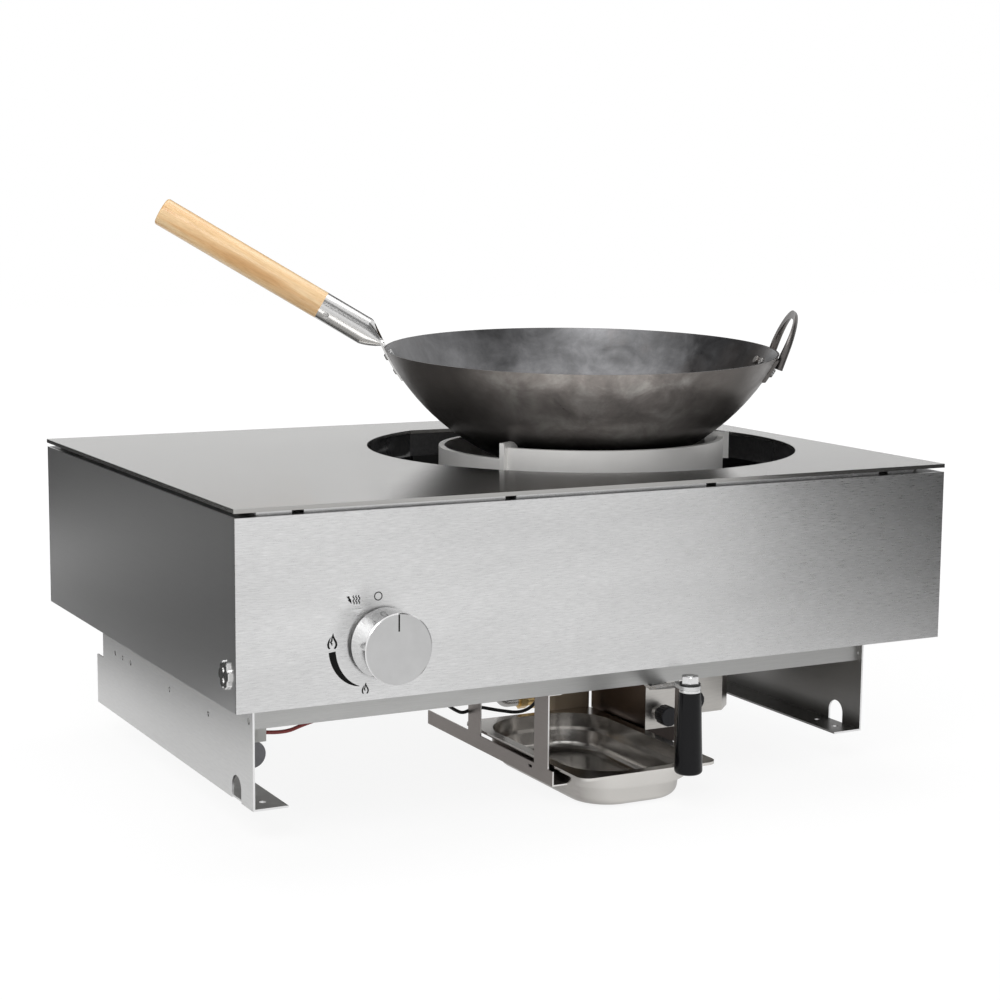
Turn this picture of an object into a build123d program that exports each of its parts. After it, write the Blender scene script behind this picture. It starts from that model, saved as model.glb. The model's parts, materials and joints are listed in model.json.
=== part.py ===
"""Built-in wok burner: a steel worktop unit with one large gas burner, a lift-off ring and a wok.

Millimetres. +X is the user's right at the front, +Y runs to the back and +Z is up.
The origin is the centre of the four foot holes, on the underside of the foot flanges.
"""
import os
from math import atan2, cos, degrees, pi, radians, sin, sqrt, tan

from build123d import *

os.makedirs("parts", exist_ok=True)

# Cooking surface and its opening
plate_width = 800.0
plate_depth = 600.0
plate_thick = 4.0
plate_top = 302.0
plate_corner_radius = 2.0
opening_radius = 240.0
opening_flat = 213.0
opening_edge = 32.5
burner_x = plate_width / 2 - opening_edge - opening_radius
burner_y = 3.0

# Side panels that hang below the shadow gap
shadow_gap = 4.5
panel_height = 178.5
panel_thick = 2.0
panel_inset = 1.0
panel_seam = 0.4
panel_lip = 12.0
back_slots = 9
back_slot_pitch = 0.075 * plate_width
back_slot_height = 45.0

# Carrier frame, spacers and brackets
carrier_width = 24.0
carrier_thick = 2.0
carrier_skirt = 30.0
spacer_width = 8.0
spacer_inset = 8.0
spacer_notch = 11.7
spacer_bright = 3.0
spacer_ridge = 4.0
bracket_inset = 44.0
bracket_plane = plate_width / 2 - bracket_inset
bracket_thick = 2.0
bracket_front = -plate_depth / 2 + 73.0
bracket_back_low = plate_depth / 2 - 35.0
bracket_back_high = bracket_back_low - 23.0
bracket_step_height = 56.0
bracket_top_flange = 38.0
foot_flange = 34.0
foot_flange_front = bracket_front
foot_hole_radius = 3.5
foot_hole_inset = 18.0
foot_hole_y = plate_depth / 2 - 95.0
small_foot_hole_radius = 3.0
small_foot_hole_y = bracket_front + 56.0
arch_width = 25.0
arch_height = 25.0
arch_y = bracket_front + 44.0
bowl_relief_half = 95.0

# Base tray that closes the unit from below
tray_floor = 78.0
tray_thick = 2.0
tray_front = bracket_front + 7.0
tray_back = bracket_back_high - 2.0
tray_wall = 60.0

# Enamelled bowl under the opening
bowl_gap = 1.0
bowl_thick = 1.5
bowl_flange = 12.0
bowl_step_drop = 26.0
bowl_step_width = 5.0
bowl_depth = 75.0
bowl_neck_radius = 42.0
screw_fit = 0.2

# Ring, lugs and wok
ring_radius = 159.6
ring_wall = 6.5
ring_high = 12.4
ring_low = 0.0
lug_thick = 6.0
lug_outer = 166.0
lug_inner = 139.0
lug_top = 17.6
lug_drop = 12.0
lug_angles = (-150.0, -30.0, 90.0)
wok_radius = 220.5
wok_sphere = wok_radius / 0.9
wok_thick = 2.0
wok_sink = 30.6
wok_centre_height = wok_sphere - wok_sink
wok_tilt_front = 2.5
wok_tilt_left = 1.1
handle_azimuth = 152.3
handle_slope = 30.1
handle_length = 205.0
handle_diameter = 32.0
handle_joint_out = 70.4
handle_joint_up = 45.8
socket_length = 82.0
socket_straight = 56.0
socket_waist = 69.0
socket_screw_place = 10.0
socket_screw_turn = 20.0
socket_wall = 1.5
strap_width = 34.0
strap_thick = 2.0
strap_reach = 36.0
loop_span = 96.0
loop_rise = 41.6
loop_lean = 14.8
loop_rod = 9.0
rivet_radius = 4.5
rivet_height = 2.2
rivet_shank = 2.5

# Burner
burner_neck_radius = 38.0
burner_tube_radius = 16.0
burner_tube_wall = 4.5
burner_flange_radius = 62.0
burner_ring_radius = 50.0
burner_crown_radius = 34.0
chamber_width = 52.0
chamber_depth = 40.0
chamber_x = burner_x - 15.5
chamber_front = burner_y - 14.0
chamber_bottom = -6.0
port_radius = 1.6
port_count = 24

# Gas train
knob_setback = 145.5
knob_x = -plate_width / 2 + knob_setback
knob_z = 168.6
knob_diameter = 67.5
knob_depth = 31.5
knob_wall = 3.0
knob_floor = 6.0
knob_hub_wall = 5.0
knob_gap = 0.5
knob_chamfer = 1.0
pointer_length = 16.0
bezel_fit = 0.75
bezel_thick = 6.0
bezel_hole_radius = 11.0
stem_radius = 4.0
valve_width = 46.0
valve_height = 50.0
valve_depth = 38.0
valve_nose_y = -plate_depth / 2 + 25.0
valve_nose_length = 10.0
push_travel = 4.0
pipe_radius = 6.0
supply_radius = 10.0
supply_x = -bracket_plane + 16.5
supply_y = bracket_front + 57.0
supply_z = 43.5
inlet_thread_radius = 10.5
inlet_thread_length = 18.0
inlet_nut_height = 12.0
elbow_radius = 13.5
jet_z = 14.0
jet_y = burner_y + 6.0
jet_length = 34.0

# Lever with its revolving grip
lever_x = burner_x - 24.7
lever_y = tray_front + 17.0
lever_z = 71.2
lever_rise = 21.7
lever_flat = 18.0
lever_thick = 4.0
lever_width = 22.0
grip_x = burner_x - 50.5
grip_y = -plate_depth / 2 - 11.0
grip_length = 84.0
grip_top_radius = 11.4
grip_bottom_radius = 14.4
grip_bore_end = 15.0
bolt_radius = 5.0
nut_across_flats = 16.0
nut_height = 7.5
nut_chamfer_show = 0.7
upper_washer = 2.1
lower_washer = 2.5
spindle_radius = 5.0
throttle_radius = 12.0
running_fit = 0.05

# Housings under the base tray
valve_box_left = burner_x + 17.5
valve_box_width = 60.0
valve_box_reach = 121.0
valve_box_front = burner_y - valve_box_reach
valve_box_length = 118.0
valve_box_bottom = -1.0
side_box_width = 67.0
side_box_setback = 40.0
side_box_front = valve_box_front + side_box_setback
side_box_length = 90.0
side_box_fin = 20.0
box_thick = 1.5
lower_cover_height = 17.0
lower_cover_width = 49.0
trim_knob_radius = 11.0
trim_knob_length = 14.0
trim_spindle_radius = 4.0
trim_spindle_show = 10.0
trim_left_x = valve_box_left + 17.0
trim_left_z = 17.0
trim_right_x = valve_box_left + valve_box_width + 17.0
trim_right_z = 20.0

# Drip pan and its rails
pan_length = 265.0
pan_width = 162.0
pan_depth = 40.0
pan_front = -plate_depth / 2 + 20.0
pan_centre_x = burner_x - 74.0
pan_rim_top = 4.5
pan_rim_width = 10.0
pan_rim_corner = 13.0
pan_body_corner = 46.0
pan_draft = 3.0
pan_thick = 1.0
pan_lip = 3.0
pan_shoulder_step = 7.0
rail_length = 291.0
rail_front = pan_front + 52.5
rail_height = 15.5
rail_thick = 1.5
rail_ledge = 17.5
rail_gap = 3.5
rail_strap_width = 29.0
strap_near = rail_front + 25.0
strap_middle = rail_front + 175.5
strap_far = rail_front + rail_length - rail_strap_width / 2 - 1.0
slide_clearance = 0.3

# Igniter and small parts
igniter_left = -bracket_plane + 4.0
igniter_width = 15.0
igniter_front = bracket_front + 12.0
igniter_length = 27.0
igniter_height = 14.0
electrode_angle = 210.0
thermocouple_angle = 150.0
probe_circle = 56.0
cable_radius = 1.9
capillary_radius = 1.5
screw_radius = 2.5
screw_head_radius = 4.5
screw_head_height = 2.6
rosette_radius = 13.2
rosette_height = 2.9
rosette_y = -plate_depth / 2 + 26.0
rosette_z = 146.7


# Helpers

def save(shape, name):
    export_step(shape, f"parts/{name}.step")


def block(low, high):
    """Box between two corners."""
    size = [high[i] - low[i] for i in range(3)]
    centre = [(high[i] + low[i]) / 2 for i in range(3)]
    return Pos(*centre) * Box(*size)


def rod(start, end, radius):
    """Round bar between two points."""
    line = Line(start, end)
    return sweep(Plane(origin=start, z_dir=line % 0) * Circle(radius), path=line)


def rounded_plate(width, depth, thick, radius):
    """Plate that lies on z = 0 and rises by thick."""
    return extrude(RectangleRounded(width, depth, radius), amount=thick)


def hexagon(across_flats, height):
    """Hexagonal prism that stands on z = 0."""
    return extrude(RegularPolygon(across_flats / 2, 6, major_radius=False), amount=height)


def tube_along(points, radius, bend):
    """Pipe along straight runs joined by tangent arcs of one radius."""
    path = FilletPolyline(*points, radius=bend)
    return sweep(Plane(origin=path @ 0, z_dir=path % 0) * Circle(radius), path=path)


def loose_tube(points, radius, label):
    """Cable whose arcs are as large as its runs allow; prints its radii and its length."""
    runs = [(Vector(b) - Vector(a)) for a, b in zip(points, points[1:])]
    radii = []
    for one, two in zip(runs, runs[1:]):
        turn = radians(one.get_angle(two))
        radii.append(0.45 * min(one.length, two.length) / tan(turn / 2))
    path = FilletPolyline(*points, radius=radii)
    tube = sweep(Plane(origin=path @ 0, z_dir=path % 0) * Circle(radius), path=path)
    print(label, "radii", [round(r, 1) for r in radii], "length", round(path.length, 1))
    print(label, "volume", round(tube.volume, 1), "section by length",
          round(pi * radius ** 2 * path.length, 1))
    return tube


def screw_z(x, y, z, radius=screw_radius, length=8.0):
    """Screw that enters downwards, with its head resting on z."""
    head = Pos(x, y, z) * Cylinder(screw_head_radius, screw_head_height, align=base_align)
    shank = Pos(x, y, z - length) * Cylinder(radius, length, align=base_align)
    socket = Pos(x, y, z + screw_head_height - 1.4) * hexagon(4.0, 2.0)
    return head + shank - socket


base_align = (Align.CENTER, Align.CENTER, Align.MIN)

# Derived levels
plate_bottom = plate_top - plate_thick
panel_top = plate_bottom - shadow_gap
panel_bottom = panel_top - panel_height
panel_x = plate_width / 2 - panel_inset
panel_y = plate_depth / 2 - panel_inset
inner_x = panel_x - panel_thick
inner_y = panel_y - panel_thick
bowl_wall_radius = opening_radius + bowl_gap
bowl_floor = plate_bottom - bowl_depth
bowl_step_z = plate_bottom - bowl_step_drop
bowl_low_radius = bowl_wall_radius - bowl_step_width
tray_top = tray_floor + tray_thick
carrier_top = panel_top
bracket_inner = bracket_plane - bracket_thick


def opening_outline(radius, flat):
    """Circle cut by a straight edge at the back, about the burner axis."""
    half = sqrt(radius ** 2 - flat ** 2)
    start = (half, flat)
    arc = ThreePointArc(start, (0, -radius), (-half, flat))
    return Pos(burner_x, burner_y) * make_face([arc, Line((-half, flat), start)])


def lifted(face, z):
    return Pos(0, 0, z) * face


# Cooking surface

def make_top_plate():
    plate = Pos(0, 0, plate_bottom) * rounded_plate(plate_width, plate_depth, plate_thick,
                                                    plate_corner_radius)
    cut = extrude(lifted(opening_outline(opening_radius, opening_flat), plate_bottom - 1),
                  amount=plate_thick + 2)
    return plate - cut


def make_bowl():
    """Pressed bowl: flange under the plate, wall with a step, floor with a neck hole."""
    outer_top = opening_outline(bowl_wall_radius + bowl_thick, opening_flat + bowl_gap + bowl_thick)
    inner_top = opening_outline(bowl_wall_radius, opening_flat + bowl_gap)
    outer_low = opening_outline(bowl_low_radius + bowl_thick,
                                opening_flat + bowl_gap - bowl_step_width + bowl_thick)
    inner_low = opening_outline(bowl_low_radius, opening_flat + bowl_gap - bowl_step_width)
    flange = opening_outline(bowl_wall_radius + bowl_flange, opening_flat + bowl_gap + bowl_flange)
    shell = extrude(lifted(flange, plate_bottom - bowl_thick), amount=bowl_thick)
    shell += extrude(lifted(outer_top, bowl_step_z - bowl_thick),
                     amount=plate_bottom - bowl_step_z)
    shell += extrude(lifted(outer_low, bowl_floor), amount=bowl_step_z - bowl_floor)
    shell -= extrude(lifted(inner_top, bowl_step_z), amount=plate_bottom - bowl_step_z + 1)
    shell -= extrude(lifted(inner_low, bowl_floor + bowl_thick), amount=bowl_step_z - bowl_floor)
    shell -= Pos(burner_x, burner_y, bowl_floor) * Cylinder(bowl_neck_radius, 20)
    for x, y in bowl_screw_points():
        shell -= Pos(x, y, bowl_floor) * Cylinder(screw_radius + screw_fit, 20)
    for angle in (electrode_angle, thermocouple_angle):
        px, py = probe_point(angle)
        shell -= Pos(px, py, bowl_floor) * Cylinder(probe_hole_radius, 20)
    return shell


def bowl_screw_points():
    """Small screws through the bowl floor into the burner flange."""
    radius = probe_circle
    return [(burner_x + radius * cos(radians(a)), burner_y + radius * sin(radians(a)))
            for a in (45, 135, 225, 315)]


# Panels

def make_front_panel():
    low = (-panel_x, -panel_y, panel_bottom)
    sheet = block(low, (panel_x, -inner_y, panel_top))
    sheet += block((-inner_x, -inner_y, panel_bottom),
                   (inner_x, -inner_y + panel_lip, panel_bottom + panel_thick))
    hole = Pos(knob_x, -panel_y, knob_z) * Rot(90, 0, 0) * Cylinder(stem_radius + 3, 20)
    return sheet - hole


def make_back_panel():
    sheet = block((-panel_x, inner_y, panel_bottom), (panel_x, panel_y, panel_top))
    sheet += block((-inner_x, inner_y - panel_lip, panel_bottom),
                   (inner_x, inner_y, panel_bottom + panel_thick))
    for i in range(-back_slots // 2 + 1, back_slots // 2 + 1):
        slot = Pos(i * back_slot_pitch, panel_y, panel_bottom + back_slot_height) * Rot(
            90, 0, 0) * extrude(SlotOverall(50, 8), amount=20, both=True)
        sheet -= slot
    return sheet


def make_side_panel(side):
    """side is -1 on the left and +1 on the right."""
    y_end = inner_y - panel_seam
    sheet = block((inner_x, -y_end, panel_bottom), (panel_x, y_end, panel_top))
    sheet += block((inner_x - panel_lip, -y_end + panel_lip + panel_seam, panel_bottom),
                   (inner_x, y_end - panel_lip - panel_seam, panel_bottom + panel_thick))
    sheet -= Pos(panel_x, rosette_y, rosette_z) * Rot(0, 90, 0) * Cylinder(screw_radius + 0.3, 20)
    return sheet if side > 0 else sheet.mirror(Plane.YZ)


# Carrier frame and spacers

def make_carrier_frame():
    """Welded angle frame inside the panels, which carries the plate and the panels."""
    outer = Rectangle(2 * inner_x, 2 * inner_y)
    inner = Rectangle(2 * (inner_x - carrier_width), 2 * (inner_y - carrier_width))
    skin = Rectangle(2 * (inner_x - carrier_thick), 2 * (inner_y - carrier_thick))
    frame = extrude(lifted(outer - inner, carrier_top - carrier_thick), amount=carrier_thick)
    frame += extrude(lifted(outer - skin, carrier_top - carrier_skirt), amount=carrier_skirt)
    for x in (-frame_screw_x, frame_screw_x):
        for y in frame_screw_y:
            frame -= Pos(x, y, carrier_top) * Cylinder(screw_radius, 20)
    return frame


front_notches = [share * plate_width for share in
                 (-0.476, -0.418, -0.145, 0.139, 0.408, 0.465)]
side_notches = [share * plate_depth for share in
                (-0.453, -0.387, -0.037, 0.147, 0.208, 0.357, 0.4, 0.477)]


def spacer_strip(low, high, across):
    """One strip: a bright foot on the carrier and a narrower ridge up to the plate."""
    foot = block((*low, carrier_top), (*high, carrier_top + spacer_bright))
    inset = (spacer_width - spacer_ridge) / 2
    ridge = block((low[0] + inset * across[0], low[1] + inset * across[1], carrier_top),
                  (high[0] - inset * across[0], high[1] - inset * across[1], plate_bottom))
    return foot + ridge


def make_gap_spacers():
    """Bright strips in the shadow gap, notched where the screws pass."""
    strips = []
    y_row = inner_y - spacer_inset
    x_row = inner_x - spacer_inset
    for start, end in zip(front_notches, front_notches[1:]):
        for y in (-y_row, y_row - spacer_width):
            strips.append(spacer_strip((start + spacer_notch / 2, y),
                                       (end - spacer_notch / 2, y + spacer_width), (0, 1)))
    for start, end in zip(side_notches, side_notches[1:]):
        for x in (-x_row, x_row - spacer_width):
            strips.append(spacer_strip((x, start + spacer_notch / 2),
                                       (x + spacer_width, end - spacer_notch / 2), (1, 0)))
    return Compound(strips)


# Brackets

def make_bracket(side):
    """Side sheet from the foot flange up to the carrier frame; built for the right side."""
    top = carrier_top - carrier_thick
    outline = Polyline(
        (bracket_front, 0), (bracket_back_low, 0), (bracket_back_low, bracket_step_height),
        (bracket_back_high, bracket_step_height), (bracket_back_high, top),
        (burner_y + bowl_relief_half, top), (burner_y + bowl_relief_half, bowl_floor - 6),
        (burner_y - bowl_relief_half, bowl_floor - 6), (burner_y - bowl_relief_half, top),
        (bracket_front, top), close=True)
    sheet = extrude(Plane.YZ.offset(bracket_inner) * make_face(outline), amount=bracket_thick)
    arch = Plane.YZ.offset(bracket_inner) * (
        Pos(arch_y, arch_height / 2 - arch_width / 4)
        * Rectangle(arch_width, arch_height - arch_width / 2))
    arch += Plane.YZ.offset(bracket_inner) * (
        Pos(arch_y, arch_height - arch_width / 2) * Circle(arch_width / 2))
    sheet -= extrude(arch, amount=bracket_thick)
    foot = block((bracket_inner - foot_flange, foot_flange_front, 0),
                 (bracket_inner, bracket_back_low - 5, bracket_thick))
    sheet += foot
    for y0, y1 in ((bracket_front, burner_y - bowl_relief_half),
                   (burner_y + bowl_relief_half, bracket_back_high)):
        sheet += block((bracket_inner, y0, top - bracket_thick),
                       (bracket_plane + bracket_top_flange, y1, top))
    for y in (-foot_hole_y, foot_hole_y):
        sheet -= Pos(foot_hole_x, y, 0) * Cylinder(foot_hole_radius, 10)
    sheet -= Pos(foot_hole_x, small_foot_hole_y, 0) * Cylinder(small_foot_hole_radius, 10)
    for y, z, r in bracket_holes:
        sheet -= Pos(bracket_inner, y, z) * Rot(0, 90, 0) * Cylinder(r, 20)
    for y in frame_screw_y:
        sheet -= Pos(frame_screw_x, y, top) * Cylinder(screw_radius, 20)
    for y in tray_screw_y:
        sheet -= Pos(bracket_inner, y, tray_floor + 25) * Rot(0, 90, 0) * Cylinder(
            screw_radius + screw_fit, 20)
    return sheet if side > 0 else sheet.mirror(Plane.YZ)


foot_hole_x = bracket_plane - foot_hole_inset
bracket_holes = ((bracket_front + 424, 70, 2.7), (bracket_front + 397, 70, 2.7),
                 (bracket_front + 369, 70, 2.7), (bracket_front + 239, 68, 2.7),
                 (bracket_front + 122, 68, 2.7), (bracket_front + 10, 86, 3.4))
tray_screw_end = 25.0
tray_screw_pitch = 135.0
tray_screw_y = (tray_front + tray_screw_end, tray_front + tray_screw_end + tray_screw_pitch,
                tray_back - tray_screw_end - tray_screw_pitch, tray_back - tray_screw_end)


def make_bracket_screws():
    """Socket screws that join both brackets to the ends of the base tray."""
    screws = []
    for side in (-1, 1):
        for y in tray_screw_y:
            face = Plane(origin=(side * bracket_plane, y, tray_floor + 25), z_dir=(side, 0, 0))
            head = face * Cylinder(screw_head_radius, screw_head_height, align=base_align)
            shank = face * Pos(0, 0, -9) * Cylinder(screw_radius, 9, align=base_align)
            socket = face * Pos(0, 0, screw_head_height - 1.4) * hexagon(4.0, 2.0)
            screws.append(head + shank - socket)
    return screws


frame_screw_y = (tray_front + 20.0, burner_y - 123.0, burner_y + 122.0, tray_back - 25.0)
frame_screw_x = inner_x - carrier_width / 2


def make_frame_screws():
    """Screws up through the bracket flanges into the carrier frame."""
    screws = []
    z = carrier_top - carrier_thick - bracket_thick
    for side in (-1, 1):
        for y in frame_screw_y:
            x = side * frame_screw_x
            head = Pos(x, y, z - screw_head_height) * Cylinder(screw_head_radius, screw_head_height,
                                                              align=base_align)
            shank = Pos(x, y, z) * Cylinder(screw_radius, bracket_thick + carrier_thick,
                                            align=base_align)
            screws.append(head + shank)
    return screws


# Base tray

def make_base_tray():
    tray = block((-bracket_inner, tray_front, tray_floor),
                 (bracket_inner, tray_back, tray_top))
    for y0, y1 in ((tray_front, tray_front + tray_thick), (tray_back - tray_thick, tray_back)):
        tray += block((-bracket_inner, y0, tray_floor), (bracket_inner, y1, tray_floor + tray_wall))
    for x0, x1 in ((-bracket_inner, -bracket_inner + tray_thick),
                   (bracket_inner - tray_thick, bracket_inner)):
        tray += block((x0, tray_front, tray_floor), (x1, tray_back, tray_floor + tray_wall))
    for side in (-1, 1):
        for y in tray_screw_y:
            tray -= Pos(side * bracket_inner, y, tray_floor + 25) * Rot(0, 90, 0) * Cylinder(
                screw_radius + screw_fit, 14)
    tray -= Pos(burner_x, burner_y, tray_floor) * Cylinder(burner_tube_radius + 3, 20)
    tray -= Pos(lever_x, lever_y, tray_floor) * Cylinder(spindle_radius + 1, 20)
    tray -= Pos(supply_x, supply_y, tray_floor) * Cylinder(pipe_radius + 1.5, 20)
    tray -= Pos(jet_pipe_x, jet_y, tray_floor) * Cylinder(pipe_radius + 1.5, 20)
    tray -= Pos(lead_hole_x, lead_hole_y, tray_floor) * Cylinder(cable_radius + 2, 20)
    for x, y in rail_screw_points() + throttle_screw_points():
        tray -= Pos(x, y, tray_floor) * Cylinder(screw_radius, 20)
    return tray


jet_pipe_x = burner_x - 97.5
lead_hole_x = burner_x - 61.5
lead_hole_y = burner_y - 35.0


# Burner

crown_top = bowl_floor + bowl_thick + 26.0
flange_thick = 5.0
head_floor = bowl_floor + bowl_thick + flange_thick


def probe_point(angle):
    """Place on the burner flange at that angle, for the electrode or the probe."""
    return (burner_x + probe_circle * cos(radians(angle)),
            burner_y + probe_circle * sin(radians(angle)))


def make_burner_body():
    """Cast body: flange on the bowl floor, flared neck, and a mixing chamber below the tray."""
    flange_z = bowl_floor + bowl_thick
    flare_low = tray_floor + 30
    chamber_top = tray_floor - 8
    outer = Polyline((0, chamber_top - 6), (burner_tube_radius, chamber_top - 6),
                     (burner_tube_radius, flare_low), (burner_neck_radius, bowl_floor - 12),
                     (burner_neck_radius, flange_z), (burner_flange_radius, flange_z),
                     (burner_flange_radius, head_floor), (0, head_floor), close=True)
    inner_low = burner_tube_radius - burner_tube_wall
    inner = Polyline((0, tray_floor - 30), (inner_low, tray_floor - 30), (inner_low, flare_low),
                     (burner_neck_radius - burner_tube_wall, bowl_floor - 12),
                     (burner_crown_radius - 4, head_floor + 1), (0, head_floor + 1), close=True)
    place = Pos(burner_x, burner_y, 0)
    body = place * revolve(Plane.XZ * make_face(outer), Axis.Z)
    low = (chamber_x - chamber_width / 2, chamber_front, chamber_bottom)
    high = (chamber_x + chamber_width / 2, chamber_front + chamber_depth, chamber_top)
    body += fillet(block(low, high).edges().filter_by(Axis.Z), 6)
    body -= place * revolve(Plane.XZ * make_face(inner), Axis.Z)
    throat_low = chamber_bottom + 8
    body -= Pos(chamber_x, chamber_front + chamber_depth / 2, throat_low) * Cylinder(
        14, chamber_top - 6 - throat_low, align=base_align)
    body -= Pos(low[0] - 1, jet_y, jet_z) * Rot(0, 90, 0) * Cylinder(
        injector_radius, chamber_width / 2, align=base_align)
    for sx, sy in bowl_screw_points():
        body -= Pos(sx, sy, flange_z) * Cylinder(screw_radius, 20)
    for angle in (electrode_angle, thermocouple_angle):
        px, py = probe_point(angle)
        body -= Pos(px, py, flange_z) * Cylinder(probe_hole_radius, 20)
    return body


probe_hole_radius = 4.2
injector_radius = 7.0


def make_burner_head():
    """Outer ring of the burner with a slanted ring of ports."""
    x, y = burner_x, burner_y
    height = crown_top - head_floor - 4
    ring = Pos(x, y, head_floor) * Cylinder(burner_ring_radius, height, align=base_align)
    ring -= Pos(x, y, head_floor - 1) * Cylinder(burner_crown_radius + 0.5, height + 2,
                                                 align=base_align)
    ring = chamfer(ring.edges().group_by(Axis.Z)[-1], 2)
    for i in range(port_count):
        angle = 360 / port_count * i
        port = Pos(x, y, head_floor + height * 0.6) * Rot(0, 0, angle) * Pos(44, 0, 0) * Rot(
            0, 90, 0) * Cylinder(port_radius, 26)
        ring -= port
    return ring


def make_burner_crown():
    """Centre cap that closes the neck and spreads the inner flame."""
    x, y = burner_x, burner_y
    crown = Pos(x, y, head_floor) * Cylinder(burner_crown_radius, crown_top - head_floor,
                                             align=base_align)
    crown = chamfer(crown.edges().group_by(Axis.Z)[-1], 3)
    crown -= Pos(x, y, head_floor) * Cylinder(22, crown_top - head_floor - 5, align=base_align)
    for i in range(port_count // 2):
        angle = 720 / port_count * i
        crown -= Pos(x, y, crown_top - 9) * Rot(0, 0, angle) * Pos(28, 0, 0) * Rot(
            0, 90, 0) * Cylinder(port_radius, 14)
    return crown


def make_burner_screws():
    return [screw_z(x, y, head_floor, length=flange_thick + bowl_thick + 2)
            for x, y in bowl_screw_points()]


def make_injector():
    """Brass jet that screws into the chamber's left wall."""
    left = chamber_x - chamber_width / 2
    axis_plane = Plane(origin=(left - jet_length, jet_y, jet_z), z_dir=(1, 0, 0))
    jet = axis_plane * Cylinder(injector_radius, jet_length + 12, align=base_align)
    jet += axis_plane * Pos(0, 0, 20) * hexagon(19, 14)
    jet += axis_plane * Pos(0, 0, 2) * hexagon(17, 9)
    jet -= axis_plane * Pos(0, 0, -1) * Cylinder(2.5, jet_length + 10, align=base_align)
    jet -= axis_plane * Cylinder(1.0, jet_length + 14, align=base_align)
    return jet


def make_jet_pipe():
    """Steel pipe from the throttle valve down to the jet."""
    left = chamber_x - chamber_width / 2 - jet_length
    return tube_along([(lever_x - throttle_radius, lever_y, throttle_axis_z),
                       (jet_pipe_x, lever_y, throttle_axis_z),
                       (jet_pipe_x, jet_y, throttle_axis_z), (jet_pipe_x, jet_y, jet_z),
                       (left, jet_y, jet_z)], pipe_radius, 11)


throttle_axis_z = tray_top + 22.0
throttle_screw_reach = throttle_radius + 5.5
throttle_height = 40.0
throttle_cap = 8.0
throttle_flange = 6.0


def make_throttle_valve():
    """Brass throttle on the base tray, turned by the lever's spindle."""
    x, y = lever_x, lever_y
    body = Pos(x, y, tray_top) * Cylinder(throttle_radius, throttle_height, align=base_align)
    body += Pos(x, y, tray_top) * extrude(
        RectangleRounded(2 * throttle_screw_reach + 12, 2 * throttle_radius, 6), amount=throttle_flange)
    body += Pos(x, y, tray_top + throttle_height) * hexagon(20, throttle_cap)
    body -= Pos(x, y, tray_top - 1) * Cylinder(spindle_radius + running_fit, 32, align=base_align)
    for sx, sy in throttle_screw_points():
        body -= Pos(sx, sy, tray_top) * Cylinder(screw_radius, 2 * throttle_flange + 1)
    return body


def throttle_screw_points():
    return [(lever_x + dx, lever_y) for dx in (-throttle_screw_reach, throttle_screw_reach)]


def make_throttle_screws():
    return [screw_z(x, y, tray_top + throttle_flange, length=throttle_flange + 4)
            for x, y in throttle_screw_points()]


def make_feed_pipe():
    """Pipe from the gas valve across to the top of the throttle valve."""
    start = (knob_x + valve_width / 2, valve_y, knob_z)
    return tube_along([start, (feed_turn_x, valve_y, knob_z), (feed_turn_x, lever_y, knob_z),
                       (lever_x, lever_y, knob_z),
                       (lever_x, lever_y, tray_top + throttle_height + throttle_cap)],
                      pipe_radius, 14)


valve_front = valve_nose_y + valve_nose_length
valve_y = valve_front + valve_depth / 2
magnet_length = 22.0
magnet_drop = 8.0
feed_turn_x = -60.0


def make_valve_bracket():
    """Folded holder that hangs the gas valve from the front panel."""
    x0 = knob_x - valve_width / 2
    x1 = knob_x + valve_width / 2
    low_z = knob_z - valve_height / 2 - 2
    face = block((x0, -inner_y, low_z), (x1, -inner_y + 2, knob_z + valve_height / 2))
    shelf = block((x0, -inner_y, low_z), (x1, valve_y + valve_depth / 2, low_z + 2))
    holder = face + shelf
    holder -= Pos(knob_x, -inner_y, knob_z) * Rot(90, 0, 0) * Cylinder(stem_radius + 3, 20)
    return holder


def make_gas_valve():
    """Brass gas tap with its flame failure unit at the back."""
    x, z = knob_x, knob_z
    back = valve_front + valve_depth
    body = block((x - valve_width / 2, valve_front, z - valve_height / 2),
                 (x + valve_width / 2, back, z + valve_height / 2))
    body = fillet(body.edges().filter_by(Axis.Y), 8)
    body += Plane(origin=(x, valve_nose_y, z), z_dir=(0, 1, 0)) * Cylinder(
        13, valve_nose_length, align=base_align)
    body += Plane(origin=(x, back, z - magnet_drop), z_dir=(0, 1, 0)) * Cylinder(
        9, magnet_length, align=base_align)
    bore = Plane(origin=(x, valve_nose_y - 1, z), z_dir=(0, 1, 0)) * Cylinder(
        stem_radius + running_fit, stem_reach + push_travel + 2, align=base_align)
    return body - bore


stem_reach = 26.0


def make_supply_pipe():
    """Inlet pipe along the left bracket."""
    return rod((supply_x, supply_y + elbow_radius, supply_z), (supply_x, tray_back, supply_z),
               supply_radius)


def make_supply_elbow():
    """Cast elbow that turns the supply up through the base tray."""
    body = rod((supply_x, supply_y - elbow_radius, supply_z),
               (supply_x, supply_y + elbow_radius, supply_z), elbow_radius)
    body += Pos(supply_x, supply_y, supply_z) * Cylinder(pipe_radius + 2.5, tray_floor - supply_z - 4,
                                                        align=base_align)
    return body


def make_riser_pipe():
    """Pipe from the elbow up to the left side of the gas valve."""
    return tube_along([(supply_x, supply_y, tray_floor - 4), (supply_x, supply_y, knob_z),
                       (supply_x, valve_y, knob_z), (knob_x - valve_width / 2, valve_y, knob_z)],
                      pipe_radius, 12)


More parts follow.
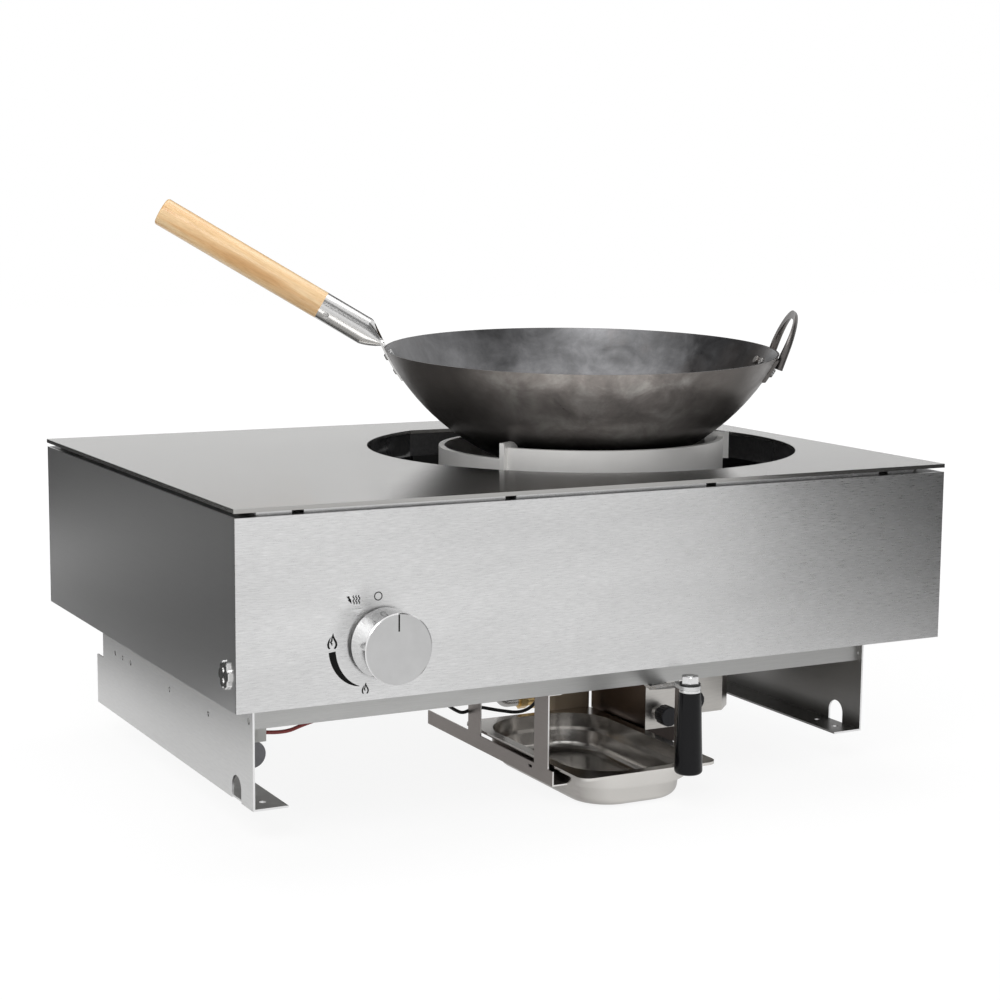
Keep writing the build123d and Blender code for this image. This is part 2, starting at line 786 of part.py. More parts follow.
def make_inlet_fitting():
    """Back fitting: nut, collar and the free male thread."""
    back = Plane(origin=(supply_x, tray_back, supply_z), x_dir=(0, 0, 1), z_dir=(0, 1, 0))
    collar = inlet_nut_height + 3
    fitting = back * hexagon(27, inlet_nut_height)
    fitting += back * Cylinder(12, collar, align=base_align)
    fitting += back * Cylinder(inlet_thread_radius, collar + inlet_thread_length, align=base_align)
    return fitting - back * Pos(0, 0, -1) * Cylinder(pipe_radius, collar + inlet_thread_length + 2,
                                                     align=base_align)


def make_pipe_clips():
    """Saddles that hold the supply pipe to the left bracket."""
    clips = []
    for y in (burner_y + 9.0, tray_back - 70.0):
        strap = Plane(origin=(supply_x, y - 5, supply_z), z_dir=(0, 1, 0)) * Cylinder(
            supply_radius + 1.5, 10, align=base_align)
        strap -= Plane(origin=(supply_x, y - 6, supply_z), z_dir=(0, 1, 0)) * Cylinder(
            supply_radius, 12, align=base_align)
        tab = block((-bracket_inner, y - 5, supply_z + supply_radius + 0.2),
                    (supply_x, y + 5, supply_z + supply_radius + 1.5))
        ear = block((-bracket_inner, y - 5, supply_z + supply_radius + 0.2),
                    (-bracket_inner + 1.5, y + 5, bracket_holes[3][1] + 6))
        clips.append(strap + tab + ear)
    return Compound(clips)


def make_thermocouple():
    """Probe beside the burner ring with its capillary to the back of the gas tap."""
    px, py = probe_point(thermocouple_angle)
    low = knob_z - magnet_drop
    end = (knob_x, valve_front + valve_depth + magnet_length, low)
    tube = tube_along([(px, py, head_floor + 22), (px, py, low), (knob_x, py, low), end],
                      capillary_radius, 18)
    tube += Pos(px, py, head_floor - 10) * Cylinder(3.2, 22, align=base_align)
    return tube + Pos(px, py, head_floor) * hexagon(11, 4)


# Ignition

def make_ignition_electrode():
    """Ceramic electrode through the burner flange, with its wire bent to the crown."""
    px, py = probe_point(electrode_angle)
    body = Pos(px, py, electrode_low) * Cylinder(3.9, head_floor + 12 - electrode_low,
                                                 align=base_align)
    body += Pos(px, py, electrode_low - 8) * Cylinder(1.2, head_floor + 26 - electrode_low,
                                                      align=base_align)
    return body + Pos(px, py, head_floor) * hexagon(12, 3)


electrode_low = 200.0


def make_igniter_box():
    """Sealed spark box under the base tray, in front of the supply elbow."""
    low = (igniter_left, igniter_front, tray_floor - igniter_height)
    high = (igniter_left + igniter_width, igniter_front + igniter_length, tray_floor)
    box = block(low, high)
    box = fillet(box.edges().filter_by(Axis.Z), 2)
    nozzle_end = (lead_start[0] - lead_gap, lead_start[1], lead_start[2])
    return box + rod((high[0] - 1, lead_start[1], lead_start[2]), nozzle_end, cable_radius + 1.5)


lead_start = (igniter_left + igniter_width + 5, igniter_front + 18.0, tray_floor - 10.0)
lead_gap = 0.7


def make_ignition_lead():
    """Insulated spark lead: along under the tray, a sag beside the jet pipe, then up."""
    ex, ey = probe_point(electrode_angle)
    below = [(-313, -200, 65.8), (-290, -193, 70.5), (-240, -168, 72), (-190, -142, 70.5), (-140, -108, 66),
             (-92, -70, 48), (-66, -46, 36), (-50, -36, 25), (-36, -33, 17.5), (-22, -33.5, 25),
             (6, -33, 17), (38, -34, 10.5), (58, -34, 24)]
    above = [(ex - 5, ey - 6, 142), (ex, ey - 1, 172), (ex, ey, electrode_low - 8 - lead_gap)]
    points = [lead_start, *below, (lead_hole_x, lead_hole_y, 52),
              (lead_hole_x, lead_hole_y + 0.5, 96), *above]
    return loose_tube(points, cable_radius, "ignition lead")


# Knob and its sleeve

knob_back = -(panel_y + push_travel + knob_gap)
knob_face = knob_back - knob_depth
stem_in_knob = knob_depth - knob_floor - 3.0
collar_y = -inner_y + 6.0
collar_length = 4.0
collar_radius = 7.0


def facing(y):
    """Plane on the knob's axis that looks to the front."""
    return Plane(origin=(knob_x, y, knob_z), x_dir=(1, 0, 0), z_dir=(0, -1, 0))


def make_knob_bezel():
    """Ring on the front panel that stands inside the hollow knob and keeps splashes out."""
    radius = knob_diameter / 2 - knob_wall - bezel_fit
    ring = facing(-panel_y) * Cylinder(radius, bezel_thick, align=base_align)
    ring = chamfer(ring.edges().group_by(Axis.Y)[0], 0.8)
    return ring - facing(-panel_y + 1) * Cylinder(bezel_hole_radius, bezel_thick + 2,
                                                  align=base_align)


def pointer_block():
    """Inlaid line on the knob's face, from its edge inwards."""
    outer = knob_diameter / 2 - knob_chamfer
    return block((knob_x - 0.8, knob_face, knob_z + outer - pointer_length),
                 (knob_x + 0.8, knob_face + 0.8, knob_z + outer))


def make_knob():
    """Turned metal knob, hollow at the back round a hub for the stem."""
    radius = knob_diameter / 2
    knob = facing(knob_back) * Cylinder(radius, knob_depth, align=base_align)
    knob = chamfer(knob.edges().group_by(Axis.Y)[0], knob_chamfer)
    hollow = facing(knob_back + 1) * Cylinder(radius - knob_wall, knob_depth - knob_floor + 1,
                                              align=base_align)
    hollow -= facing(knob_back + 2) * Cylinder(stem_radius + knob_hub_wall, knob_depth,
                                               align=base_align)
    knob -= hollow
    knob -= facing(knob_back + 1) * Cylinder(stem_radius, stem_in_knob + 1, align=base_align)
    return knob - pointer_block()


def make_valve_stem():
    """Stem from the knob into the tap, with two flanges that hold the sleeve."""
    stem = rod((knob_x, knob_back - stem_in_knob, knob_z), (knob_x, valve_nose_y + stem_reach, knob_z),
               stem_radius)
    for y in (collar_y - 1.05, collar_y + collar_length + 0.05):
        stem += rod((knob_x, y, knob_z), (knob_x, y + 1, knob_z), stem_radius + 1.5)
    return stem


def make_push_collar():
    """Sleeve on the stem that is pushed in with it but doesn't turn."""
    collar = rod((knob_x, collar_y, knob_z), (knob_x, collar_y + collar_length, knob_z),
                 collar_radius)
    return collar - rod((knob_x, collar_y - 1, knob_z), (knob_x, collar_y + collar_length + 1, knob_z),
                        stem_radius + running_fit)


# Lever and grip

def make_lever_bar():
    """Flat bar, cranked up from the throttle spindle under the tray to the grip in front."""
    reach = sqrt((grip_x - lever_x) ** 2 + (grip_y - lever_y) ** 2)
    turn = degrees(atan2(grip_y - lever_y, grip_x - lever_x))
    far = reach + lever_width
    side = Polyline((-lever_width, 0), (lever_flat, 0), (reach - lever_flat, lever_rise),
                    (far, lever_rise), (far, lever_rise + lever_thick),
                    (reach - lever_flat, lever_rise + lever_thick), (lever_flat, lever_thick),
                    (-lever_width, lever_thick), close=True)
    bar = extrude(Plane.XZ * make_face(side), amount=lever_width, both=True)
    bar &= Pos(reach / 2, 0, -1) * extrude(SlotCenterToCenter(reach, lever_width),
                                           amount=lever_rise + lever_thick + 2)
    bar = Pos(lever_x, lever_y, lever_z) * Rot(0, 0, turn) * bar
    bar -= Pos(lever_x, lever_y, lever_z) * Cylinder(spindle_radius, 3 * lever_thick)
    return bar - Pos(grip_x, grip_y, grip_seat) * Cylinder(bolt_radius, 3 * lever_thick)


grip_seat = lever_z + lever_rise
grip_top = grip_seat - lower_washer
nut_seat = grip_seat + lever_thick + upper_washer


def make_throttle_spindle():
    return Pos(lever_x, lever_y, lever_z) * Cylinder(spindle_radius, tray_top + 30 - lever_z,
                                                     align=base_align)


def ring_nut(x, y, z, hole):
    """Hexagon nut that stands on z."""
    nut = Pos(x, y, z) * hexagon(nut_across_flats, nut_height)
    crown = Pos(x, y, z) * Cone(nut_across_flats / 2 + 4.4, nut_across_flats / 2 + nut_chamfer_show,
                                nut_height, align=base_align)
    return (nut & crown) - Pos(x, y, z - 1) * Cylinder(hole, nut_height + 2, align=base_align)


def flat_washer(z, height, radius):
    washer = Pos(grip_x, grip_y, z) * Cylinder(radius, height, align=base_align)
    return washer - Pos(grip_x, grip_y, z - 1) * Cylinder(bolt_radius, height + 2,
                                                          align=base_align)


def make_upper_washer():
    return flat_washer(grip_seat + lever_thick, upper_washer, grip_top_radius - 1)


def make_lower_washer():
    washer = flat_washer(grip_top, lower_washer, grip_top_radius - 0.4)
    return chamfer(washer.edges().group_by(Axis.Z)[-1], 0.4)


def make_grip_nut():
    """Nut on top of the grip's bolt, and the steel washer under the bar."""
    return Compound([ring_nut(grip_x, grip_y, nut_seat, bolt_radius), make_lower_washer()])


def make_grip_bolt():
    """Bolt on which the grip turns; its far end is upset inside the grip."""
    top = nut_seat + nut_height + 0.6
    low = grip_top - grip_length + grip_bore_end + 4
    return Pos(grip_x, grip_y, low) * Cylinder(bolt_radius, top - low, align=base_align)


def make_lever_grip():
    grip = Pos(grip_x, grip_y, grip_top - grip_length) * Cone(
        grip_bottom_radius, grip_top_radius, grip_length, align=base_align)
    grip = fillet(grip.edges().group_by(Axis.Z)[0], 4)
    grip = fillet(grip.edges().group_by(Axis.Z)[-1], 1)
    bore_depth = grip_length - grip_bore_end
    return grip - Pos(grip_x, grip_y, grip_top - bore_depth) * Cylinder(
        bolt_radius + running_fit, bore_depth + 1, align=base_align)


# Housings and trim valves

valve_box_right = valve_box_left + valve_box_width
side_box_right = valve_box_right + side_box_width


def open_box(low, high):
    """Sheet box that is open at the top, against the base tray."""
    inside = block((low[0] + box_thick, low[1] + box_thick, low[2] + box_thick),
                   (high[0] - box_thick, high[1] - box_thick, high[2] + 1))
    return block(low, high) - inside


def trim_places():
    """Each trim valve: x, z and the y of the face that it comes out of."""
    return ((trim_left_x, trim_left_z, valve_box_front), (trim_right_x, trim_right_z, side_box_front))


bush_radius = 7.0
bush_inside = 14.0
bush_outside = 3.0


def bush_hole(x, z, face):
    return rod((x, face - 1, z), (x, face + box_thick + 1, z), bush_radius)


def make_valve_box():
    box = open_box((valve_box_left, valve_box_front, valve_box_bottom),
                   (valve_box_right, valve_box_front + valve_box_length, tray_floor))
    return box - bush_hole(*trim_places()[0])


def make_side_box():
    """Second box on the right, with a closed duct along its side that starts at a slant."""
    back = side_box_front + side_box_length
    box = open_box((valve_box_right, side_box_front, valve_box_bottom),
                   (side_box_right, back, tray_floor))
    box -= bush_hole(*trim_places()[1])
    duct = Polyline((side_box_right, side_box_front),
                    (side_box_right + side_box_fin, side_box_front + side_box_fin),
                    (side_box_right + side_box_fin, back), (side_box_right, back), close=True)
    return box + extrude(lifted(make_face(duct), valve_box_bottom), amount=tray_floor - valve_box_bottom)


def make_lower_cover():
    """Shallow dark cover hung under the valve box, open at the top."""
    low = (rail_right + 0.5, valve_box_front + 1, valve_box_bottom - lower_cover_height)
    high = (rail_right + 0.5 + lower_cover_width, valve_box_front + valve_box_length - 20,
            valve_box_bottom)
    return open_box(low, high)


def make_trim_bushes():
    bushes = []
    for x, z, face in trim_places():
        bush = rod((x, face - bush_outside, z), (x, face + bush_inside, z), bush_radius)
        bushes.append(bush - rod((x, face - bush_outside - 1, z), (x, face + bush_inside + 1, z),
                                 trim_spindle_radius + running_fit))
    return Compound(bushes)


def make_trim_spindle(x, z, face):
    return rod((x, face - trim_spindle_show - 9, z), (x, face + bush_inside + 6, z),
               trim_spindle_radius)


def make_trim_knob(x, z, face):
    """Small fluted knob on the end of its spindle."""
    near = face - trim_spindle_show
    knob = rod((x, near - trim_knob_length, z), (x, near, z), trim_knob_radius)
    knob = chamfer(knob.edges().group_by(Axis.Y)[0], 1)
    for i in range(12):
        angle = radians(30 * i)
        gx = x + (trim_knob_radius + 0.9) * cos(angle)
        gz = z + (trim_knob_radius + 0.9) * sin(angle)
        knob -= rod((gx, near - trim_knob_length - 1, gz), (gx, near + 1, gz), 1.6)
    return knob - rod((x, near - 9, z), (x, near + 1, z), trim_spindle_radius)


# Drip pan and its rails

rail_left = pan_centre_x - pan_width / 2 - rail_gap - rail_thick
rail_right = pan_centre_x + pan_width / 2 + rail_gap + rail_thick
ledge_top = -rail_height + rail_thick
pan_shoulder_z = ledge_top + slide_clearance
pan_bottom = pan_rim_top - pan_depth
pan_bottom_radius = 11.0
strap_screw_inset = 7.0


def strap_positions(side):
    """The right rail's far strap stands behind the mixing chamber."""
    return (strap_near, strap_middle if side < 0 else strap_far)


def make_rail(side):
    """Sheet rail with a ledge inwards and two straps up to the base tray; side -1 or +1."""
    outer = rail_left if side < 0 else rail_right
    skin = outer - side * rail_thick
    ledge = outer - side * rail_ledge

    def wall(x0, x1, y0, y1, z0, z1):
        return block((min(x0, x1), y0, z0), (max(x0, x1), y1, z1))

    back = rail_front + rail_length
    rail = wall(outer, skin, rail_front, back, -rail_height, 0)
    rail += wall(outer, ledge, rail_front, back, -rail_height, ledge_top)
    for y in strap_positions(side):
        y0, y1 = y - rail_strap_width / 2, y + rail_strap_width / 2
        rail += wall(outer, skin, y0, y1, 0, tray_floor)
        tab = wall(skin, skin - side * 2 * strap_screw_inset, y0, y1, tray_floor - rail_thick,
                   tray_floor)
        tab -= Pos(skin - side * strap_screw_inset, y, tray_floor) * Cylinder(screw_radius, 20)
        rail += tab
    slot = Plane(origin=(outer, rail_slot_y, -5), z_dir=(1, 0, 0)) * Rot(0, 0, 90) * SlotOverall(8, 3)
    return rail - extrude(slot, amount=4, both=True)


rail_slot_y = rail_front + 47.5


def rail_screw_points():
    points = []
    for outer, side in ((rail_left, -1), (rail_right, 1)):
        x = outer - side * (rail_thick + strap_screw_inset)
        points += [(x, y) for y in strap_positions(side)]
    return points


def make_rail_screws():
    """Screws up through the strap tabs into the base tray."""
    low = tray_floor - rail_thick
    screws = []
    for x, y in rail_screw_points():
        screw = Pos(x, y, low - screw_head_height) * Cylinder(
            screw_head_radius, screw_head_height, align=base_align)
        screw += Pos(x, y, low) * Cylinder(screw_radius, rail_thick + tray_thick + 3,
                                           align=base_align)
        screws.append(screw)
    return screws


def pan_block(inset, corner, z0, z1):
    """Upright block with round corners, set in from the pan's outer edge."""
    face = RectangleRounded(pan_width - 2 * inset, pan_length - 2 * inset, corner)
    return Pos(pan_centre_x, pan_front + pan_length / 2, z0) * extrude(face, amount=z1 - z0)


def drawn_block(inset, corner, low, top, bottom_radius):
    """Block drawn down from top to low; its walls lean in by pan_draft and its bottom is round."""
    start = Plane(origin=(pan_centre_x, pan_front + pan_length / 2, top), x_dir=(1, 0, 0),
                  z_dir=(0, 0, -1))
    face = start * RectangleRounded(pan_width - 2 * inset, pan_length - 2 * inset, corner)
    lean = degrees(atan2(pan_draft, pan_shoulder_z - pan_bottom))
    drawn = extrude(face, amount=top - low, taper=lean)
    return fillet(drawn.edges().group_by(Axis.Z)[0], bottom_radius)


def make_drip_pan():
    """Deep-drawn pan: flat rim with a turned edge, shoulder for the rails, round corners."""
    step = pan_rim_width + pan_shoulder_step
    lower = drawn_block(step, pan_body_corner, pan_bottom, pan_shoulder_z, pan_bottom_radius)
    hollow = drawn_block(step + pan_thick, pan_body_corner - pan_thick, pan_bottom + pan_thick,
                         pan_shoulder_z + pan_thick, pan_bottom_radius - pan_thick)
    upper = pan_block(pan_rim_width, pan_body_corner + pan_shoulder_step, pan_shoulder_z, pan_rim_top)
    rim = pan_block(0, pan_rim_corner, pan_rim_top - pan_lip, pan_rim_top)
    rim -= pan_block(pan_thick, pan_rim_corner - pan_thick, pan_rim_top - pan_lip - 1,
                     pan_rim_top - pan_thick)
    pan = lower + upper + rim
    pan -= hollow
    return pan - pan_block(pan_rim_width + pan_thick, pan_body_corner + pan_shoulder_step - pan_thick,
                           pan_shoulder_z + pan_thick, pan_rim_top + 1)


# Ring and lugs

ring_base = bowl_floor + bowl_thick
ring_top = plate_top + ring_high
wok_centre_z = plate_top + wok_centre_height
lug_gap = 0.3


def sphere_height(radius):
    """Height of the wok's outer face at that distance from the burner axis."""
    return wok_centre_z - sqrt(wok_sphere ** 2 - radius ** 2)


def make_wok_ring():
    """Steel ring on the bowl floor, lower at the back left so that flue gas gets out."""
    ring = Pos(burner_x, burner_y, ring_base) * Cylinder(ring_radius, ring_top - ring_base,
                                                         align=base_align)
    ring -= Pos(burner_x, burner_y, ring_base - 1) * Cylinder(
        ring_radius - ring_wall, ring_top - ring_base + 2, align=base_align)
    far = 2 * ring_radius
    start, end = lug_angles[2], lug_angles[0] + 360
    corners = [(0, 0)]
    for angle in (start, (start + end) / 2, end):
        corners.append((far * cos(radians(angle)), far * sin(radians(angle))))
    sector = extrude(make_face(Polyline(*corners, close=True)), amount=ring_top)
    return ring - Pos(burner_x, burner_y, plate_top + ring_low) * sector


def make_ring_lugs():
    """Three lugs hooked over the ring, cut to the wok's curve on the inside."""
    inner = ring_radius - ring_wall
    top = plate_top + lug_top
    touch = sqrt(wok_sphere ** 2 - (wok_centre_z - top - lug_gap) ** 2)
    low = plate_top - lug_drop
    outline = Polyline((lug_outer, low), (lug_outer, top), (touch, top),
                       (lug_inner, sphere_height(lug_inner) - lug_gap),
                       (lug_inner, low + 6), (inner, low + 6), (inner, ring_top),
                       (ring_radius, ring_top), (ring_radius, low), close=True)
    lug = extrude(Plane.XZ * make_face(outline), amount=lug_thick / 2, both=True)
    wall = Cylinder(ring_radius, ring_top, align=base_align)
    wall -= Cylinder(inner, ring_top, align=base_align)
    lug -= wall
    return Compound([Pos(burner_x, burner_y, 0) * Rot(0, 0, angle) * lug for angle in lug_angles])


# Wok: built about its sphere centre with the long handle along +X, then set in place

rim_drop = sqrt(wok_sphere ** 2 - wok_radius ** 2)


def wok_place():
    """Plane at the sphere's centre: normal along the wok's axis, X towards the long handle."""
    normal = Vector(-tan(radians(wok_tilt_left)), -tan(radians(wok_tilt_front)), 1).normalized()
    towards = Vector(cos(radians(handle_azimuth)), sin(radians(handle_azimuth)), 0)
    across = (towards - normal * towards.dot(normal)).normalized()
    return Plane(origin=(burner_x, burner_y, wok_centre_z), x_dir=across, z_dir=normal)


def set_in_place(shape):
    return wok_place().location * shape


strap_rivets = ((-9.0, -9.0), (9.0, -9.0), (0.0, -26.0))
loop_leg = loop_span / 2 - loop_rod / 2
loop_rivets = ((-loop_leg - 9, -17.0), (-loop_leg + 9, -17.0), (loop_leg - 9, -17.0),
               (loop_leg + 9, -17.0))
pad_thick = 3.0


def wall_direction(side, across, below):
    """Unit vector from the sphere's centre to a place on the wall, below the rim."""
    z = -rim_drop + below
    x = side * sqrt(wok_sphere ** 2 - z ** 2 - across ** 2)
    return Vector(x, across, z).normalized()


def wall_hole(direction):
    return Plane(origin=direction * (wok_sphere - 20), z_dir=direction) * Cylinder(
        rivet_shank, 40, align=base_align)


def make_rivet(direction, outside):
    """Rivet through the wall, with a head inside and one on top of the strap or pad."""
    inner_face = wok_sphere - wok_thick - 0.06
    outer_face = wok_sphere + outside + 0.01
    line = Plane(origin=direction * (inner_face - rivet_height), z_dir=direction)
    inside_head = line * Cylinder(rivet_radius, rivet_height, align=base_align)
    inside_head = fillet(inside_head.faces().sort_by(Axis.Z)[-1].edges(), 0.4)
    head = Plane(origin=direction * outer_face, z_dir=direction) * Cone(
        rivet_radius, rivet_radius - 1.4, rivet_height, align=base_align)
    shank = Plane(origin=direction * (inner_face - 1), z_dir=direction) * Cylinder(
        rivet_shank, outer_face - inner_face + 2, align=base_align)
    return inside_head + head + shank


def make_wok_bowl():
    shell = Sphere(wok_sphere) - Sphere(wok_sphere - wok_thick)
    room = 2 * wok_sphere
    shell &= Pos(0, 0, -rim_drop - room / 2) * Box(room + 10, room + 10, room)
    for across, below in strap_rivets:
        shell -= wall_hole(wall_direction(1, across, below))
    for across, below in loop_rivets:
        shell -= wall_hole(wall_direction(-1, across, below))
    return shell


joint_x = wok_radius + handle_joint_out


def handle_axis():
    return Vector(cos(radians(handle_slope)), 0, sin(radians(handle_slope)))


def along_handle(distance):
    """Section plane on the handle's axis; distance is from the wood, towards the wok if below 0."""
    base = Vector(joint_x, 0, handle_joint_up - rim_drop)
    return Plane(origin=base + handle_axis() * distance, x_dir=(0, 1, 0), z_dir=handle_axis())


def socket_body(shrink):
    """Round socket that flattens towards the wok."""
    radius = handle_diameter / 2 - shrink
    tube = along_handle(-socket_straight) * Cylinder(radius, socket_straight + shrink * 2,
                                                     align=base_align)
    sections = [along_handle(-socket_straight) * Circle(radius),
                along_handle(-socket_waist) * Ellipse(radius + 0.3, radius * 0.72),
                along_handle(-socket_length) * Ellipse(radius + 1, 3.6 - shrink)]
    return tube + loft(sections)


def make_wok_socket():
    """Polished socket whose flattened end runs into a strap on the outside of the wall."""
    strap = Sphere(wok_sphere + strap_thick) - Sphere(wok_sphere)
    strap &= Pos(wok_radius, 0, -rim_drop - strap_reach / 2 + 5) * Box(
        wok_radius / 2, strap_width, strap_reach + 10)
    socket = socket_body(0) + strap
    socket -= socket_body(socket_wall)
    socket -= Sphere(wok_sphere)
    for across, below in strap_rivets:
        socket -= wall_hole(wall_direction(1, across, below))
    return socket - socket_screw_hole()


def make_wok_handle():
    """Round beech handle with a tenon in the socket."""
    wood = along_handle(0) * Cylinder(handle_diameter / 2, handle_length, align=base_align)
    far = wood.faces().filter_by(GeomType.PLANE).sort_by(Axis.Z)[-1]
    wood = fillet(far.edges(), 3)
    wood += along_handle(-socket_straight + 2) * Cylinder(
        handle_diameter / 2 - socket_wall, socket_straight - 2, align=base_align)
    return wood - socket_screw_hole()


def socket_screw_line():
    """Section plane that the socket screw lies in, and its direction outwards."""
    section = along_handle(-socket_screw_place)
    turn = radians(socket_screw_turn)
    return section, section.x_dir * cos(turn) - section.y_dir * sin(turn)


def make_socket_screw():
    """Round-headed screw through the socket into the tenon, on the side towards the cook."""
    section, outwards = socket_screw_line()
    face = Plane(origin=section.origin + outwards * (handle_diameter / 2 + 0.02), z_dir=outwards)
    head = face * Cylinder(3.4, 1.8, align=base_align)
    shank = face * Pos(0, 0, -9) * Cylinder(socket_screw_radius, 9.5, align=base_align)
    slot = face * Pos(0, 0, 1.8) * Box(0.9, 8, 1.6)
    return head + shank - slot


def socket_screw_hole():
    section, outwards = socket_screw_line()
    return Plane(origin=section.origin + outwards * 5, z_dir=outwards) * Cylinder(
        socket_screw_radius, 30, align=base_align)


socket_screw_radius = 1.6


loop_foot = -15.0
loop_top_reach = wok_radius + loop_lean
loop_bend = 38.0
pad_width = 27.0
pad_height = 24.0
pad_middle = -16.0


def make_loop_handle():
    """Bent rod on two pads, welded together and riveted to the wall."""
    pads = Sphere(wok_sphere + pad_thick) - Sphere(wok_sphere)
    holders = [Pos(-wok_radius, side * loop_leg, -rim_drop + pad_middle)
               * Box(wok_radius / 2, pad_width, pad_height) for side in (-1, 1)]
    pads &= holders[0] + holders[1]
    reach = wok_sphere + pad_thick + loop_rod / 2 - 0.6
    foot_x = -sqrt(reach ** 2 - (rim_drop - loop_foot) ** 2 - loop_leg ** 2)
    corners = [(foot_x, -loop_leg, loop_foot), (-loop_top_reach, -loop_leg, loop_rise),
               (-loop_top_reach, loop_leg, loop_rise), (foot_x, loop_leg, loop_foot)]
    corners = [(x, y, z - rim_drop) for x, y, z in corners]
    path = FilletPolyline(*corners, radius=loop_bend)
    bar = sweep(Plane(origin=path @ 0, z_dir=path % 0) * Circle(loop_rod / 2), path=path)
    handle = bar + pads
    handle -= Sphere(wok_sphere)
    for across, below in loop_rivets:
        handle -= wall_hole(wall_direction(-1, across, below))
    return handle


def make_wok_rivets():
    rivets = [make_rivet(wall_direction(1, across, below), strap_thick)
              for across, below in strap_rivets]
    rivets += [make_rivet(wall_direction(-1, across, below), pad_thick)
               for across, below in loop_rivets]
    return Compound(rivets + [make_socket_screw()])


# Rosettes on the side panels

def make_side_rosettes():
    """Lobed cover caps over the panel screws."""
    caps = []
    for side in (-1, 1):
        face = Plane(origin=(side * panel_x, rosette_y, rosette_z), z_dir=(side, 0, 0))
        cap = Cylinder(rosette_radius, rosette_height, align=base_align)
        for i in range(6):
            lobe = Pos((rosette_radius + 1.5) * cos(i * pi / 3), (rosette_radius + 1.5) * sin(i * pi / 3))
            cap -= lobe * Cylinder(3.4, rosette_height * 3)
        cap = chamfer(cap.edges().group_by(Axis.Z)[-1], 0.9)
        for dx in (-5.0, 5.0):
            cap -= Pos(dx, 0, rosette_height) * Sphere(2.5)
        cap += Pos(0, 0, -panel_thick - 2) * Cylinder(screw_radius, panel_thick + 3, align=base_align)
        caps.append(face * cap)
    return Compound(caps)


chassis = {
    "top_plate": make_top_plate(),
    "front_panel": make_front_panel(),
    "left_panel": make_side_panel(-1),
    "right_panel": make_side_panel(1),
    "back_panel": make_back_panel(),
    "carrier_frame": make_carrier_frame(),
    "gap_spacers": make_gap_spacers(),
    "left_bracket": make_bracket(-1),
    "right_bracket": make_bracket(1),
    "frame_screws": Compound(make_bracket_screws() + make_frame_screws() + make_rail_screws()
                             + make_burner_screws() + make_throttle_screws()),
    "base_tray": make_base_tray(),
    "burner_bowl": make_bowl(),
    "burner_body": make_burner_body(),
    "burner_head": make_burner_head(),
    "burner_crown": make_burner_crown(),
    "injector": make_injector(),
    "jet_pipe": make_jet_pipe(),
    "throttle_valve": make_throttle_valve(),
    "feed_pipe": make_feed_pipe(),
    "valve_bracket": make_valve_bracket(),
    "gas_valve": make_gas_valve(),
    "supply_pipe": make_supply_pipe(),
    "supply_elbow": make_supply_elbow(),
    "riser_pipe": make_riser_pipe(),
    "inlet_fitting": make_inlet_fitting(),
    "pipe_clips": make_pipe_clips(),
    "thermocouple": make_thermocouple(),
    "ignition_electrode": make_ignition_electrode(),
    "igniter_box": make_igniter_box(),
    "ignition_lead": make_ignition_lead(),
    "knob_bezel": make_knob_bezel(),
    "valve_box": make_valve_box(),
    "side_box": make_side_box(),
    "lower_cover": make_lower_cover(),
    "trim_bushes": make_trim_bushes(),
    "left_rail": make_rail(-1),
    "right_rail": make_rail(1),
    "side_rosettes": make_side_rosettes(),
}
controls = {
    "push_collar": make_push_collar(),
    "valve_stem": make_valve_stem(),
    "knob": make_knob(),
    "knob_pointer": pointer_block(),
    "lever_bar": make_lever_bar(),
    "throttle_spindle": make_throttle_spindle(),
    "grip_nut": make_grip_nut(),
    "upper_washer": make_upper_washer(),
    "grip_bolt": make_grip_bolt(),
    "lever_grip": make_lever_grip(),
    "trim_spindle_left": make_trim_spindle(*trim_places()[0]),
    "trim_knob_left": make_trim_knob(*trim_places()[0]),
    "trim_spindle_right": make_trim_spindle(*trim_places()[1]),
    "trim_knob_right": make_trim_knob(*trim_places()[1]),
}
loose = {
    "drip_pan": make_drip_pan(),
    "wok_ring": make_wok_ring(),
    "ring_lugs": make_ring_lugs(),
}
wok = {
    "wok_bowl": make_wok_bowl(),
    "wok_socket": make_wok_socket(),
    "wok_handle": make_wok_handle(),
    "loop_handle": make_loop_handle(),
    "wok_rivets": make_wok_rivets(),
}

for name, shape in {**chassis, **controls, **loose}.items():
    save(shape, name)
for name, shape in wok.items():
    save(set_in_place(shape), name)
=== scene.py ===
"""Built-in wok burner: finishes, printed signs, spark lead, stage, light and camera.

Metres, in the row frame: +X to the cook's right, +Y to the back, +Z up.
"""
import json
from math import cos, pi, radians, sin

import bmesh
import bpy
from mathutils import Matrix, Vector


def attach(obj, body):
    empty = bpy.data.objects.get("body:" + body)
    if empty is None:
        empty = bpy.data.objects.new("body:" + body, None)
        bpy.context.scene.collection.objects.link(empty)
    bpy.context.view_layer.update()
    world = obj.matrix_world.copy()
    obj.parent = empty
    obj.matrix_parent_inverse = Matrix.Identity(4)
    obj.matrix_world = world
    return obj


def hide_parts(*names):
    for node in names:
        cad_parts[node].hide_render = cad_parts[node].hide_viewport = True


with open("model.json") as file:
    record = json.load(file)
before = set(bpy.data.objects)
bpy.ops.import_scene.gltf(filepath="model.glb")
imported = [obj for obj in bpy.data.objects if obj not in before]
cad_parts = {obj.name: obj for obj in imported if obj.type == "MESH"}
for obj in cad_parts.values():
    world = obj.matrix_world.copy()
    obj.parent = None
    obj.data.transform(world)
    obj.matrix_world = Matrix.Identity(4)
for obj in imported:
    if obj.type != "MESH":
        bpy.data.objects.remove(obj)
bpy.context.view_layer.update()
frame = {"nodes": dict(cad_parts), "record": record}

mm = 0.001
white = (1.0, 1.0, 1.0)
black = (0.0, 0.0, 0.0)

